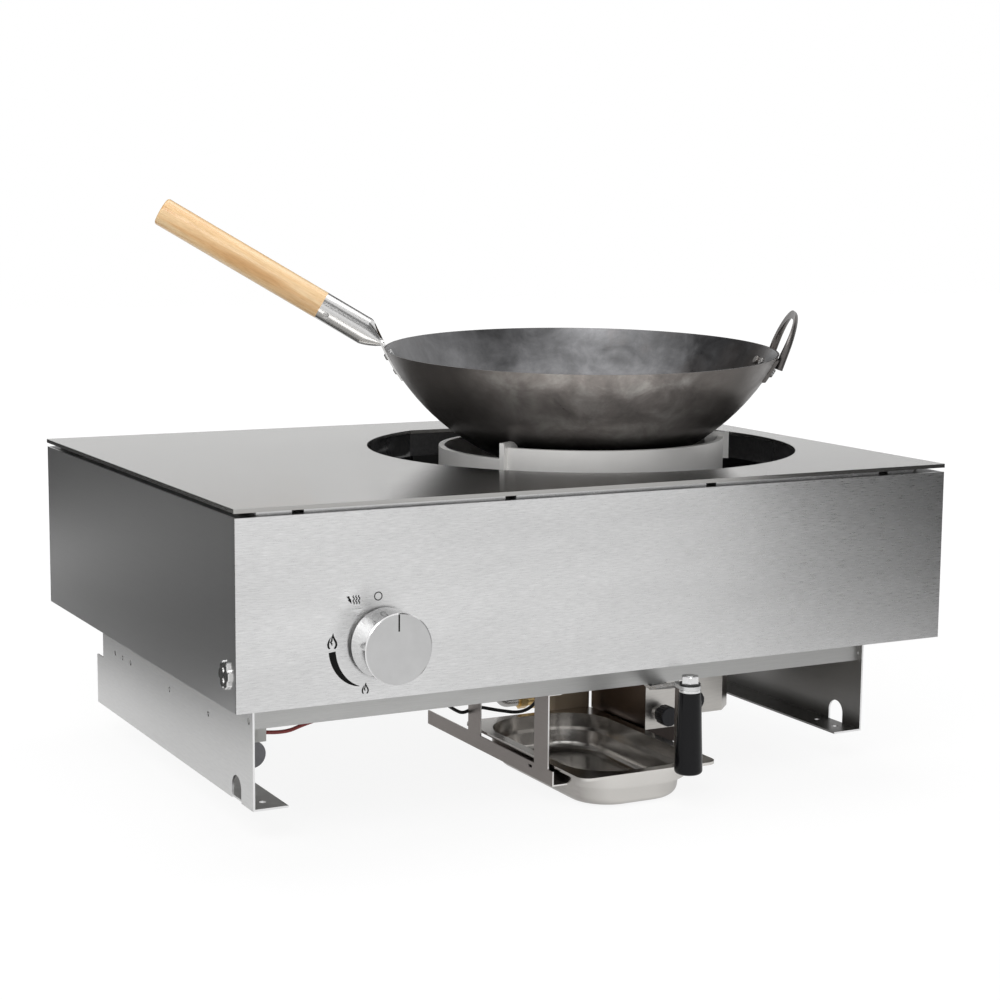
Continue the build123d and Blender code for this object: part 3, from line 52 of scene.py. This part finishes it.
# Places and directions on the model that the finishes and the signs go by
panel_face = -0.299
knob_centre = Vector((-0.2545, panel_face, 0.1686))
knob_front = -0.335
bowl_step = 0.272
wok_centre = (0.1275, 0.003, 0.5164)
wok_outer_radius = 0.245
wok_wall = 0.002
foot_darkening_full = 0.312
foot_darkening_end = 0.340
red_sheath_end = -0.236
black_sheath_start = -0.228
handle_turn = (0.0, radians(-30.1), radians(152.3))


# Node helpers

def feed(tree, socket, value):
    """Links another node's output to a socket, or sets a plain value; a colour is three numbers."""
    if isinstance(value, bpy.types.NodeSocket):
        tree.links.new(value, socket)
    elif socket.type == "RGBA":
        socket.default_value = (*value, 1.0)
    else:
        socket.default_value = value


def fill(tree, node, values):
    """Feeds a node's inputs; values maps their names, or numbers, to what they get."""
    for name, value in values.items():
        feed(tree, node.inputs[name], value)


def add_node(tree, kind, values):
    node = tree.nodes.new("ShaderNode" + kind)
    fill(tree, node, values)
    return node


def calculate(tree, operation, *values):
    """Result of a sum, product or the like of numbers and other nodes' outputs."""
    node = tree.nodes.new("ShaderNodeMath")
    node.operation = operation
    fill(tree, node, dict(enumerate(values)))
    return node.outputs["Value"]


def measure(tree, operation, *vectors):
    """Length of a vector, or distance between two."""
    node = tree.nodes.new("ShaderNodeVectorMath")
    node.operation = operation
    fill(tree, node, dict(enumerate(vectors)))
    return node.outputs["Value"]


def coordinate(tree, kind):
    """Place in the row frame for kind "Object", and for "Normal" the direction a face looks in."""
    return tree.nodes.new("ShaderNodeTexCoord").outputs[kind]


def noise(tree, cells, detail=4.0, roughness=0.6, distortion=0.0, turn=(0.0, 0.0, 0.0)):
    """Cloudy pattern of that many cells per metre along X, Y and Z, which turn can rotate."""
    place = tree.nodes.new("ShaderNodeMapping")
    place.vector_type = "TEXTURE"
    fill(tree, place, {"Vector": coordinate(tree, "Object"), "Rotation": turn,
                       "Scale": [1 / count for count in cells]})
    node = add_node(tree, "TexNoise", {"Vector": place.outputs["Vector"], "Scale": 1.0,
                                       "Detail": detail, "Roughness": roughness,
                                       "Distortion": distortion})
    return node.outputs["Fac"]


def ramp(tree, factor, stops):
    """Colour ramp; stops are (place, colour) pairs."""
    node = add_node(tree, "ValToRGB", {"Fac": factor})
    elements = node.color_ramp.elements
    while len(elements) < len(stops):
        elements.new(0.5)
    for element, (place, colour) in zip(elements, stops):
        element.position = place
        element.color = (*colour, 1.0)
    return node.outputs["Color"]


def two_tones(tree, pattern, dark, light):
    """A noise pattern's low parts in the dark tone and its high parts in the light one."""
    return ramp(tree, pattern, [(0.3, dark), (0.7, light)])


def span(tree, factor, low, high, out_low=0.0, out_high=1.0):
    """Maps low to out_low and high to out_high, and holds these values outside."""
    node = add_node(tree, "MapRange", {"Value": factor, "From Min": low, "From Max": high,
                                       "To Min": out_low, "To Max": out_high})
    return node.outputs["Result"]


def blend_colour(tree, factor, first, second, mode="MIX"):
    """Blend of two colours: first at factor 0, and at factor 1 second or their product."""
    node = tree.nodes.new("ShaderNodeMix")
    node.data_type = "RGBA"
    node.blend_type = mode
    inputs = {socket.identifier: socket for socket in node.inputs}
    feed(tree, inputs["Factor_Float"], factor)
    feed(tree, inputs["A_Color"], first)
    feed(tree, inputs["B_Color"], second)
    return [socket for socket in node.outputs if socket.identifier == "Result_Color"][0]


def add_bump(tree, shader, height, distance, strength):
    bump = add_node(tree, "Bump", {"Height": height, "Distance": distance, "Strength": strength})
    feed(tree, shader.inputs["Normal"], bump.outputs["Normal"])


def one_axis(tree, vector, axis):
    return add_node(tree, "SeparateXYZ", {"Vector": vector}).outputs[axis]


def place_step(tree, axis, low, high):
    """0 below low and 1 above high, along one axis of the row frame."""
    return span(tree, one_axis(tree, coordinate(tree, "Object"), axis), low, high)


def looking_along(tree, direction, fade):
    """1 on faces that look along a direction such as "-Y", 0 on the others; fade is (start, full)."""
    sign = -1.0 if direction[0] == "-" else 1.0
    start, full = fade
    along = one_axis(tree, coordinate(tree, "Normal"), direction[1])
    return span(tree, along, sign * start, sign * full)


def outside_wall(tree, centre, radius, wall):
    """1 on the outer face of a round shell and 0 on its inner face."""
    distance = measure(tree, "DISTANCE", coordinate(tree, "Object"), centre)
    return span(tree, distance, radius - 0.6 * wall, radius - 0.4 * wall)


def shade(colour, factor):
    return tuple(min(1.0, channel * factor) for channel in colour)


def start_material(name):
    material = bpy.data.materials.new(name)
    material.use_nodes = True
    tree = material.node_tree
    tree.nodes.clear()
    shader = tree.nodes.new("ShaderNodeBsdfPrincipled")
    add_node(tree, "OutputMaterial", {"Surface": shader.outputs["BSDF"]})
    return material, tree, shader


# Finishes

def brushed(name, colour, roughness, stretch, contrast=0.08, bump=0.00002, wear=0.05,
            round_axis=None, turn=0.25, faces=None, fade=(0.7, 0.9)):
    """Metal with fine brush lines; stretch is the lines' cells per metre along X, Y and Z.

    round_axis is the axis that the brushing runs around; highlights then spread across the lines.
    faces paints light and shade: it gives the tone of faces that look along a direction such as "-Y",
    lighter for a painted highlight and darker for a painted shade; fade is how it sets in.
    """
    material, tree, shader = start_material(name)
    if round_axis:
        tangent = tree.nodes.new("ShaderNodeTangent")
        tangent.direction_type = "RADIAL"
        tangent.axis = round_axis
        fill(tree, shader, {"Tangent": tangent.outputs["Tangent"], "Anisotropic": 0.8,
                            "Anisotropic Rotation": turn})
    lines = noise(tree, stretch, detail=5.0, roughness=0.7)
    cloud = noise(tree, [0.3 * cells ** 0.5 for cells in stretch])
    tone = two_tones(tree, lines, shade(colour, 1 - contrast), shade(colour, 1 + contrast))
    worn = two_tones(tree, cloud, (1 - wear,) * 3, white)
    tone = blend_colour(tree, 1.0, tone, worn, "MULTIPLY")
    # Painted light and shade: faces that look along a given direction take a lighter or darker tone
    for direction, painted_face_tone in (faces or {}).items():
        tone = blend_colour(tree, looking_along(tree, direction, fade), tone, painted_face_tone)
    vary = min(0.22, 2.5 * contrast)
    fill(tree, shader, {
        "Base Color": tone,
        "Roughness": span(tree, lines, 0.25, 0.75, roughness * (1 - vary), roughness * (1 + vary)),
        "Metallic": 1.0})
    add_bump(tree, shader, lines, bump, strength=0.35)
    return material


def grained(name, colour, roughness, cell, contrast=0.1, bump=0.00005, metallic=0.0, coat=0.0,
            specular=0.5):
    """Cast, blasted or moulded surface with an even fine grain; cell is the grain's size."""
    material, tree, shader = start_material(name)
    grain = noise(tree, (1 / cell,) * 3, detail=3.0)
    cloud = noise(tree, (14.0, 14.0, 14.0), detail=3.0)
    fill(tree, shader, {
        "Base Color": two_tones(tree, cloud, shade(colour, 1 - contrast), shade(colour, 1 + contrast)),
        "Roughness": span(tree, grain, 0.3, 0.7, roughness * 0.85, roughness * 1.15),
        "Metallic": metallic, "Specular IOR Level": specular,
        "Coat Weight": coat, "Coat Roughness": 0.08})
    add_bump(tree, shader, grain, bump, strength=0.4)
    return material


def carbon_steel(name, colour, brown, outside=None):
    """Blued wok steel: cloudy greys, faint smears and brown heat marks.

    outside is the tone of the wok's outer wall where it looks to the front left; away from there,
    round the wall, it takes a painted shade, and towards its foot it turns near black.
    """
    material, tree, shader = start_material(name)
    cloud = noise(tree, (22.0, 22.0, 30.0), detail=8.0, roughness=0.65, distortion=0.4)
    smear = noise(tree, (60.0, 60.0, 9.0), detail=6.0)
    heat = noise(tree, (7.0, 7.0, 7.0))
    fine = noise(tree, (420.0, 420.0, 420.0), detail=2.0)
    smeared = ramp(tree, smear, [(0.35, (0.8, 0.8, 0.8)), (0.65, white)])
    tone = ramp(tree, cloud, [(0.3, shade(colour, 0.72)), (0.5, colour), (0.68, shade(colour, 1.35))])
    tone = blend_colour(tree, 1.0, tone, smeared, "MULTIPLY")
    tone = blend_colour(tree, span(tree, heat, 0.5, 0.75, 0.0, 0.55), tone, brown)
    metallic = 0.92
    if outside:
        outer = ramp(tree, cloud, [(0.3, shade(outside, 0.6)), (0.5, outside),
                                   (0.68, shade(outside, 1.6))])
        outer = blend_colour(tree, 1.0, outer, smeared, "MULTIPLY")
        # Painted shade: the outer wall drops to a fifth of its tone where it turns away from the
        # front, and to a quarter where it looks to the right
        front = looking_along(tree, "-Y", (0.3, 0.85))
        outer = blend_colour(tree, front, shade(outside, 0.2), outer)
        right = looking_along(tree, "+X", (-0.15, 0.35))
        outer = blend_colour(tree, right, outer, shade(outside, 0.25))
        # Near black towards the foot
        above_foot = place_step(tree, "Z", foot_darkening_full, foot_darkening_end)
        outer = blend_colour(tree, above_foot, (0.012, 0.011, 0.011), outer)
        is_outside = outside_wall(tree, wok_centre, wok_outer_radius, wok_wall)
        tone = blend_colour(tree, is_outside, tone, outer)
        metallic = span(tree, is_outside, 0.0, 1.0, metallic, 0.7)
    fill(tree, shader, {"Base Color": tone, "Roughness": span(tree, cloud, 0.3, 0.7, 0.27, 0.46),
                        "Metallic": metallic})
    add_bump(tree, shader, fine, distance=0.00004, strength=0.3)
    return material


def turned_knob(name):
    """Turned alloy: bright polished side with faint rings, and a greyer satin face."""
    material, tree, shader = start_material(name)
    lines = noise(tree, (60.0, 900.0, 60.0))
    face_end = knob_front + 0.00003
    side_start = knob_front + 0.0001
    behind_face = place_step(tree, "Y", face_end, side_start)
    side = two_tones(tree, lines, (0.72, 0.72, 0.72), (0.82, 0.82, 0.82))
    face = two_tones(tree, lines, (0.56, 0.56, 0.56), (0.60, 0.60, 0.60))
    fill(tree, shader, {"Base Color": blend_colour(tree, behind_face, face, side),
                        "Roughness": span(tree, behind_face, 0.0, 1.0, 0.34, 0.16), "Metallic": 1.0})
    add_bump(tree, shader, lines, distance=0.00001, strength=0.3)
    return material


def enamel(name):
    """Glossy black enamel, with a painted sheen that makes the wall above the bowl's step lighter."""
    material, tree, shader = start_material(name)
    orange_peel = noise(tree, (260.0, 260.0, 260.0), detail=2.0)
    lower_end = bowl_step - 0.0006
    band_start = bowl_step + 0.0004
    # Painted sheen: the wall above the step takes a lighter grey than the black below
    painted_sheen_band = place_step(tree, "Z", lower_end, band_start)
    low = two_tones(tree, orange_peel, (0.008, 0.008, 0.009), (0.012, 0.012, 0.013))
    high = two_tones(tree, orange_peel, (0.060, 0.060, 0.062), (0.080, 0.080, 0.082))
    fill(tree, shader, {"Base Color": blend_colour(tree, painted_sheen_band, low, high), "Roughness": 0.12,
                        "Coat Weight": 0.6, "Coat Roughness": 0.05})
    add_bump(tree, shader, orange_peel, distance=0.00003, strength=0.3)
    return material


def spark_cable(name):
    """Black sheath that is dark red over its first stretch, beside the spark box."""
    material, tree, shader = start_material(name)
    grain = noise(tree, (900.0, 900.0, 900.0), detail=2.0)
    black_part = two_tones(tree, grain, (0.010, 0.010, 0.011), (0.016, 0.016, 0.017))
    red_part = two_tones(tree, grain, (0.22, 0.030, 0.026), (0.30, 0.045, 0.038))
    along = place_step(tree, "X", red_sheath_end, black_sheath_start)
    fill(tree, shader, {"Base Color": blend_colour(tree, along, red_part, black_part),
                        "Roughness": 0.42})
    add_bump(tree, shader, grain, distance=0.00005, strength=0.4)
    return material


def beech_wood(name):
    """Honey-coloured beech whose grain runs along the handle, with darker heart streaks."""
    material, tree, shader = start_material(name)
    grain = noise(tree, (9.0, 150.0, 150.0), detail=5.0, distortion=0.3, turn=handle_turn)
    fleck = noise(tree, (70.0, 900.0, 900.0), detail=3.0, turn=handle_turn)
    streak = noise(tree, (4.0, 34.0, 34.0), detail=2.0, turn=handle_turn)
    tone = ramp(tree, grain, [(0.32, (0.97, 0.72, 0.42)), (0.52, (0.95, 0.64, 0.33)),
                              (0.70, (0.82, 0.47, 0.19))])
    heart = span(tree, streak, 0.50, 0.60, 0.0, 0.75)
    tone = blend_colour(tree, heart, tone, (0.68, 0.37, 0.13))
    flecks = ramp(tree, fleck, [(0.35, (0.86, 0.83, 0.78)), (0.6, white)])
    fill(tree, shader, {"Base Color": blend_colour(tree, 1.0, tone, flecks, "MULTIPLY"),
                        "Roughness": span(tree, grain, 0.3, 0.7, 0.42, 0.55),
                        "Coat Weight": 0.8, "Coat Roughness": 0.2})
    add_bump(tree, shader, fleck, distance=0.00008, strength=0.35)
    return material


bright_steel = (0.80, 0.80, 0.80)
zinc = (0.71, 0.71, 0.705)
zinc_lines = (60.0, 60.0, 500.0)
# Zinc bracket tones: painted light on the front faces, painted shade on the inward faces and on the
# foot tops
zinc_painted_light_front = (0.92, 0.92, 0.92)
zinc_painted_shade_inside = (0.26, 0.255, 0.25)
zinc_painted_shade_top = (0.24, 0.235, 0.23)

finishes = {
    "plate_steel": brushed("plate_steel", (0.47, 0.463, 0.45), 0.18, (40.0, 900.0, 900.0),
                           contrast=0.06, bump=0.000006, round_axis="X", turn=0.0),
    "panel_steel": brushed("panel_steel", bright_steel, 0.30, (80.0, 80.0, 1100.0),
                           contrast=0.17, bump=0.000015, round_axis="Z", wear=0.16),
    "side_steel": brushed("side_steel", bright_steel, 0.30, (80.0, 6.0, 500.0),
                          contrast=0.015, bump=0.000001, round_axis="Z"),
    "inner_steel": brushed("inner_steel", (0.30, 0.30, 0.31), 0.45, (40.0, 40.0, 700.0)),
    "spacer_steel": brushed("spacer_steel", bright_steel, 0.25, (60.0, 60.0, 900.0)),
    # Both zinc finishes paint light on the front faces and shade on the inward faces and foot tops
    "zinc_steel": brushed("zinc_steel", zinc, 0.36, zinc_lines, contrast=0.07,
                          faces={"-Y": zinc_painted_light_front, "+X": zinc_painted_shade_inside, "+Z": zinc_painted_shade_top}),
    "right_zinc_painted_shade": brushed("right_zinc_painted_shade", zinc, 0.36, zinc_lines, contrast=0.07,
                           faces={"-Y": zinc_painted_light_front, "-X": zinc_painted_shade_inside, "+Z": zinc_painted_shade_top}),
    "screw_steel": brushed("screw_steel", (0.78, 0.78, 0.78), 0.22, (900.0, 900.0, 120.0)),
    "tray_steel": brushed("tray_steel", (0.66, 0.66, 0.65), 0.48, (34.0, 34.0, 1000.0),
                          round_axis="Z"),
    "black_enamel": enamel("black_enamel"),
    "cast_alloy": grained("cast_alloy", (0.42, 0.34, 0.25), 0.5, 0.0012, metallic=0.7, bump=0.0002),
    "cast_iron": grained("cast_iron", (0.05, 0.05, 0.05), 0.62, 0.001, metallic=0.4, bump=0.0003),
    "grey_cast": grained("grey_cast", (0.20, 0.20, 0.21), 0.5, 0.001, metallic=0.7, bump=0.0003),
    "brass": grained("brass", (0.72, 0.52, 0.24), 0.3, 0.0015, metallic=1.0),
    "copper": grained("copper", (0.72, 0.38, 0.24), 0.32, 0.002, metallic=1.0),
    "ceramic": grained("ceramic", (0.85, 0.83, 0.76), 0.3, 0.002, coat=0.6),
    "light_plastic": grained("light_plastic", (0.60, 0.60, 0.58), 0.45, 0.0006),
    "black_cable": spark_cable("black_cable"),
    "black_rubber": grained("black_rubber", (0.010, 0.010, 0.010), 0.5, 0.0008),
    "black_mark": grained("black_mark", (0.006, 0.006, 0.006), 0.6, 0.0008, specular=0.1),
    "grip_plastic": grained("grip_plastic", (0.003, 0.003, 0.004), 0.15, 0.006, bump=0.00001,
                            specular=0.22),
    "trim_plastic": grained("trim_plastic", (0.012, 0.013, 0.018), 0.35, 0.0008, specular=0.35),
    "polished_steel": brushed("polished_steel", (0.68, 0.675, 0.67), 0.20, (500.0, 500.0, 500.0),
                              contrast=0.02, bump=0.000001),
    # The valve box's left-facing faces get a painted dark brown shade
    "box_steel": brushed("box_steel", (0.62, 0.60, 0.57), 0.34, (50.0, 50.0, 800.0),
                         faces={"-X": (0.15, 0.115, 0.095)}),
    "dark_cover": grained("dark_cover", (0.045, 0.030, 0.024), 0.4, 0.002, specular=0.3),
    # The rails' front-facing faces get a painted light tone
    "rail_steel": brushed("rail_steel", (0.32, 0.29, 0.275), 0.36, (40.0, 40.0, 700.0),
                          faces={"-Y": (0.90, 0.88, 0.86)}),
    "knob_metal": turned_knob("knob_metal"),
    "lever_steel": brushed("lever_steel", (0.70, 0.70, 0.70), 0.28, (80.0, 80.0, 700.0)),
    "pipe_steel": brushed("pipe_steel", (0.56, 0.55, 0.54), 0.26, (300.0, 300.0, 60.0)),
    # The pan's front-facing faces get a painted highlight, lighter than the rest
    "pan_steel": brushed("pan_steel", (0.46, 0.44, 0.42), 0.20, (50.0, 50.0, 300.0),
                         faces={"-Y": (0.72, 0.70, 0.67)}, fade=(0.4, 0.9)),
    "ring_steel": grained("ring_steel", (0.93, 0.92, 0.90), 0.40, 0.0012, contrast=0.05,
                          metallic=0.45),
    "wok_steel": carbon_steel("wok_steel", (0.17, 0.17, 0.175), (0.16, 0.125, 0.105),
                              outside=(0.66, 0.605, 0.575)),
    "loop_steel": carbon_steel("loop_steel", (0.15, 0.14, 0.135), (0.14, 0.10, 0.08)),
    "rivet_steel": carbon_steel("rivet_steel", (0.50, 0.50, 0.50), (0.42, 0.36, 0.30)),
    "beech": beech_wood("beech"),
}

# Every piece takes its slot's finish, but for these three; the right bracket's zinc has its painted
# shade on its left-facing, inward faces
own_finish = {"right_bracket": "right_zinc_painted_shade", "left_panel": "side_steel", "right_panel": "side_steel"}
for part in frame["record"]["subparts"]:
    node = frame["nodes"][part["node"]]
    node.data.materials.clear()
    node.data.materials.append(finishes[own_finish.get(part["node"], part["material_slot"])])


# Building helpers

def add_object(name, data, material=None):
    made = bpy.data.objects.new(name, data)
    bpy.context.scene.collection.objects.link(made)
    if material:
        data.materials.append(material)
    return made


def outline_mesh(name, outlines, origin, thick):
    """Flat signs as thin solids that stand out towards -Y; outlines are (x, z) loops in metres."""
    builder = bmesh.new()
    for outline in outlines:
        front = [builder.verts.new((origin.x + x, origin.y - thick, origin.z + z)) for x, z in outline]
        back = [builder.verts.new((origin.x + x, origin.y, origin.z + z)) for x, z in outline]
        builder.faces.new(front)
        builder.faces.new(list(reversed(back)))
        for i in range(len(outline)):
            j = (i + 1) % len(outline)
            builder.faces.new((front[j], front[i], back[i], back[j]))
    bmesh.ops.recalc_face_normals(builder, faces=builder.faces)
    bmesh.ops.triangulate(builder, faces=[face for face in builder.faces if len(face.verts) > 4])
    mesh = bpy.data.meshes.new(name)
    builder.to_mesh(mesh)
    builder.free()
    return mesh


def stroke(points, widths):
    """Closed outline of a line through points, with its width at each."""
    left, right = [], []
    for i, (x, z) in enumerate(points):
        before = points[max(i - 1, 0)]
        after = points[min(i + 1, len(points) - 1)]
        along = Vector((after[0] - before[0], after[1] - before[1])).normalized()
        half = widths[i] / 2
        left.append((x - along.y * half, z + along.x * half))
        right.append((x + along.y * half, z - along.x * half))
    return left + list(reversed(right))


# Signs printed round the knob; their places are given from its centre, to the right and upwards

def off_circle(x, z, radius, width, steps=48):
    """A circle drawn as short strokes that meet."""
    inner, outer = radius - width / 2, radius + width / 2
    outlines = []
    for i in range(steps):
        corners = []
        for reach, turn in ((inner, i), (outer, i), (outer, i + 1), (inner, i + 1)):
            angle = 2 * pi * turn / steps
            corners.append((x + reach * cos(angle), z + reach * sin(angle)))
        outlines.append(corners)
    return outlines


def heat_waves():
    """Upright wavy lines side by side."""
    first_x, spacing, foot_z, point_rise = -29.4, 2.75, 38.2, 0.51
    sway, width = 0.7 * mm, 1.0 * mm
    lines, points, points_per_wave = 3, 17, 8
    outlines = []
    for i in range(lines):
        x = (first_x + spacing * i) * mm
        wave = [(x + sway * sin(2 * pi * k / points_per_wave), (foot_z + point_rise * k) * mm)
                for k in range(points)]
        outlines.append(stroke(wave, [width] * points))
    return outlines


def spark_bolt():
    bolt = [(-36.5, 45.8), (-33.8, 46.2), (-33.1, 43.6), (-32.1, 43.3), (-31.4, 38.6), (-35.2, 42.6),
            (-34.5, 43.1)]
    return [(x * mm, z * mm) for x, z in bolt]


def flame_outlines(x, z, height):
    """Flame sign: two bold tongues left open at the foot, with a flicker between them.

    The tongues' points and widths are those of a flame 15 high.
    """
    size = height / 15
    right = [(0.9, 7.5), (0.9, 4.6), (2.5, 1.2), (3.8, -1.2), (4.1, -3.3), (3.5, -5.3), (2.2, -7.0)]
    left = [(-1.7, 3.9), (-3.2, 0.8), (-4.1, -2.4), (-3.8, -4.9), (-2.6, -6.7)]
    flicker = [(0.9, 7.5), (-0.2, 3.6), (-0.5, 0.6), (-1.6, -0.6), (-0.6, -1.6), (-0.2, -3.8)]
    tongues = [(right, [0.5, 1.5, 1.9, 2.0, 2.0, 1.9, 1.5]), (left, [0.5, 1.5, 2.0, 1.9, 1.5]),
               (flicker, [0.5, 1.3, 1.6, 1.7, 1.6, 0.6])]
    return [stroke([(x + px * size, z + pz * size) for px, pz in points], [w * size for w in widths])
            for points, widths in tongues]


def tapering_arc():
    """Arc round the knob that runs from the large flame to the small one and gets thinner."""
    start_angle, sweep = 185.3, 53.5
    start_radius, drawn_in = 51.2, 5.4
    end_width, start_swell = 0.4, 6.5
    steps = 16
    arc, widths = [], []
    for k in range(steps + 1):
        share = k / steps
        angle = radians(start_angle + sweep * share)
        radius = (start_radius - drawn_in * share ** 2.6) * mm
        arc.append((radius * cos(angle), radius * sin(angle)))
        widths.append((end_width + start_swell * (1 - share ** 1.8)) * mm)
    return stroke(arc, widths)


def make_signs():
    print_thick = 0.12 * mm
    print_sunk = 0.02 * mm
    outlines = off_circle(-4.6 * mm, 43.9 * mm, 3.75 * mm, 0.95 * mm)
    outlines += heat_waves()
    outlines.append(spark_bolt())
    outlines += flame_outlines(-50.8 * mm, 5.2 * mm, 15 * mm)
    outlines += flame_outlines(-17.8 * mm, -41.9 * mm, 10.8 * mm)
    outlines.append(tapering_arc())
    origin = Vector((knob_centre.x, knob_centre.y + print_sunk, knob_centre.z))
    mesh = outline_mesh("knob_signs", outlines, origin, print_thick)
    signs = add_object("knob_signs", mesh, finishes["black_mark"])
    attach(signs, "chassis")


make_signs()


# Spark lead

def make_lead():
    """Smooth cable on the same route as the frame's lead."""
    lead_radius = 0.0019
    route = [(-332, -197, 68), (-313, -200, 65.8), (-290, -193, 70.5), (-240, -168, 72),
             (-190, -142, 70.5), (-140, -108, 66), (-92, -70, 48), (-66, -46, 36), (-50, -36, 25),
             (-36, -33, 17.5), (-22, -33.5, 25), (6, -33, 17), (38, -34, 10.5), (58, -34, 24),
             (66, -32, 52), (66, -31.5, 96), (74, -31, 142), (79, -26, 172), (79, -25, 191.3)]
    curve = bpy.data.curves.new("spark_lead", "CURVE")
    curve.dimensions = "3D"
    curve.bevel_depth = lead_radius
    curve.bevel_resolution = 5
    curve.use_fill_caps = True
    spline = curve.splines.new("NURBS")
    spline.points.add(len(route) - 1)
    for point, (x, y, z) in zip(spline.points, route):
        point.co = (x * mm, y * mm, z * mm, 1.0)
    spline.order_u = 3
    spline.use_endpoint_u = True
    spline.resolution_u = 8
    lead = add_object("spark_lead", curve, finishes["black_cable"])
    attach(lead, "chassis")
    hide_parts("ignition_lead")


make_lead()


# Stage: a floor just below the model, and grey cards that only reflections see

floor_z = -0.0376
floor_reach = 9.0
card_z = floor_z + 0.002


def stage_plane(name, corners, material):
    mesh = bpy.data.meshes.new(name)
    mesh.from_pydata(corners, [], [tuple(range(len(corners)))])
    made = add_object(name, mesh, material)
    return made


def mix_shaders(tree, factor, first, second):
    """first at factor 0 and second at factor 1."""
    return add_node(tree, "MixShader", {"Fac": factor, 1: first, 2: second}).outputs["Shader"]


def floor_material():
    """Pale paper that shows the object's shadow, with a white glow over it.

    The glow takes most of the camera's view near the object and all of it far out.
    """
    shadow_reach, all_white = 0.9, 2.4
    shadow_glow, mirrored_glow = 0.84, 0.45
    material, tree, shader = start_material("floor_paper")
    grain = noise(tree, (60.0, 60.0, 60.0), detail=2.0)
    paper = ramp(tree, grain, [(0.0, (0.84, 0.84, 0.84)), (1.0, (0.88, 0.88, 0.88))])
    fill(tree, shader, {"Base Color": paper, "Roughness": 0.9, "Specular IOR Level": 0.0})
    glow = add_node(tree, "Emission", {"Color": white, "Strength": 1.06})
    rays = tree.nodes.new("ShaderNodeLightPath")
    distance = measure(tree, "LENGTH", coordinate(tree, "Object"))
    to_camera = span(tree, distance, shadow_reach, all_white, shadow_glow, 1.0)
    seen = calculate(tree, "MULTIPLY", to_camera, rays.outputs["Is Camera Ray"])
    share = calculate(tree, "MULTIPLY_ADD", rays.outputs["Is Glossy Ray"], mirrored_glow, seen)
    mixed = mix_shaders(tree, share, shader.outputs["BSDF"], glow.outputs["Emission"])
    output = [node for node in tree.nodes if node.type == "OUTPUT_MATERIAL"][0]
    feed(tree, output.inputs["Surface"], mixed)
    return material


def glow_material(name, level):
    material, tree, shader = start_material(name)
    fill(tree, shader, {"Base Color": black, "Specular IOR Level": 0.0,
                        "Emission Color": white, "Emission Strength": level})
    return material


def grey_card(name, corners, level):
    """Glowing card at one grey level."""
    card = stage_plane(name, corners, glow_material(name, level))
    card.visible_camera = False
    card.visible_shadow = False
    card.visible_diffuse = False


def grey_wall(name, start, end, low, high, level):
    """Upright card over the line from start to end."""
    grey_card(name, [(*start, low), (*end, low), (*end, high), (*start, high)], level)


stage_plane("floor", [(-floor_reach, -floor_reach, floor_z), (floor_reach, -floor_reach, floor_z),
                      (floor_reach, floor_reach, floor_z), (-floor_reach, floor_reach, floor_z)],
            floor_material())
grey_card("right_card", [(0.80, -0.45, card_z), (1.05, -0.45, card_z), (1.05, -1.6, card_z),
                         (0.88, -1.6, card_z)], level=0.06)
grey_wall("right_wall", (1.05, -0.45), (1.05, -1.6), card_z, 3.0, level=0.07)
grey_card("left_card", [(-1.6, -0.1, card_z), (-0.72, -0.1, card_z), (-0.52, 0.3, card_z),
                        (-0.52, 1.3, card_z), (-1.6, 1.3, card_z)], level=0.06)
grey_wall("left_wall", (-3.0, 1.0), (-0.45, 1.6), card_z, 3.4, level=0.07)
grey_wall("back_wall", (-4.0, 2.8), (3.5, 2.8), 1.1, 4.8, level=0.10)
grey_wall("front_wall", (-1.4, -3.2), (2.6, -3.2), 1.3, 4.2, level=0.16)


# Light and camera

lit_place = Vector((0.0, 0.0, 0.2))


def soft_box(name, place, size, power):
    """Rectangular lamp that faces the object."""
    light = bpy.data.lights.new(name, "AREA")
    light.shape = "RECTANGLE"
    light.size, light.size_y = size
    light.energy = power
    made = add_object(name, light)
    made.location = place
    made.rotation_euler = (lit_place - Vector(place)).to_track_quat("-Z", "Y").to_euler()


soft_box("key_light", (-1.8, -2.4, 2.6), size=(2.4, 1.6), power=60.0)
soft_box("top_light", (0.2, 0.4, 2.8), size=(2.4, 1.8), power=26.0)


def make_world():
    """White behind the object and in its reflections, softer as light."""
    world = bpy.data.worlds.new("studio")
    bpy.context.scene.world = world
    world.use_nodes = True
    tree = world.node_tree
    tree.nodes.clear()
    rays = tree.nodes.new("ShaderNodeLightPath")
    mirrored = calculate(tree, "MAXIMUM", rays.outputs["Is Glossy Ray"],
                         rays.outputs["Is Transmission Ray"])
    seen = calculate(tree, "MAXIMUM", rays.outputs["Is Camera Ray"], mirrored)
    ambient = add_node(tree, "Background", {"Color": white, "Strength": 0.45})
    backdrop = add_node(tree, "Background", {"Color": white, "Strength": 1.0})
    mixed = mix_shaders(tree, seen, ambient.outputs["Background"], backdrop.outputs["Background"])
    add_node(tree, "OutputWorld", {"Surface": mixed})


make_world()


def make_camera():
    """The photograph's view: place and directions of the camera, and its focal length."""
    place = (-1.0554, -2.0527, 0.5790)
    forward = Vector((0.46078, 0.87607, -0.14206)).normalized()
    right = Vector((0.88558, -0.46441, 0.00850))
    right = (right - forward * right.dot(forward)).normalized()
    up = right.cross(forward)
    turn = Matrix((right, up, -forward)).transposed()
    data = bpy.data.cameras.new("camera")
    data.sensor_width = 36.0
    data.lens = 76.26
    data.clip_end = 50.0
    camera = add_object("camera", data)
    camera.matrix_world = Matrix.Translation(place) @ turn.to_4x4()
    bpy.context.scene.camera = camera


make_camera()
bpy.context.scene.view_settings.view_transform = "Standard"
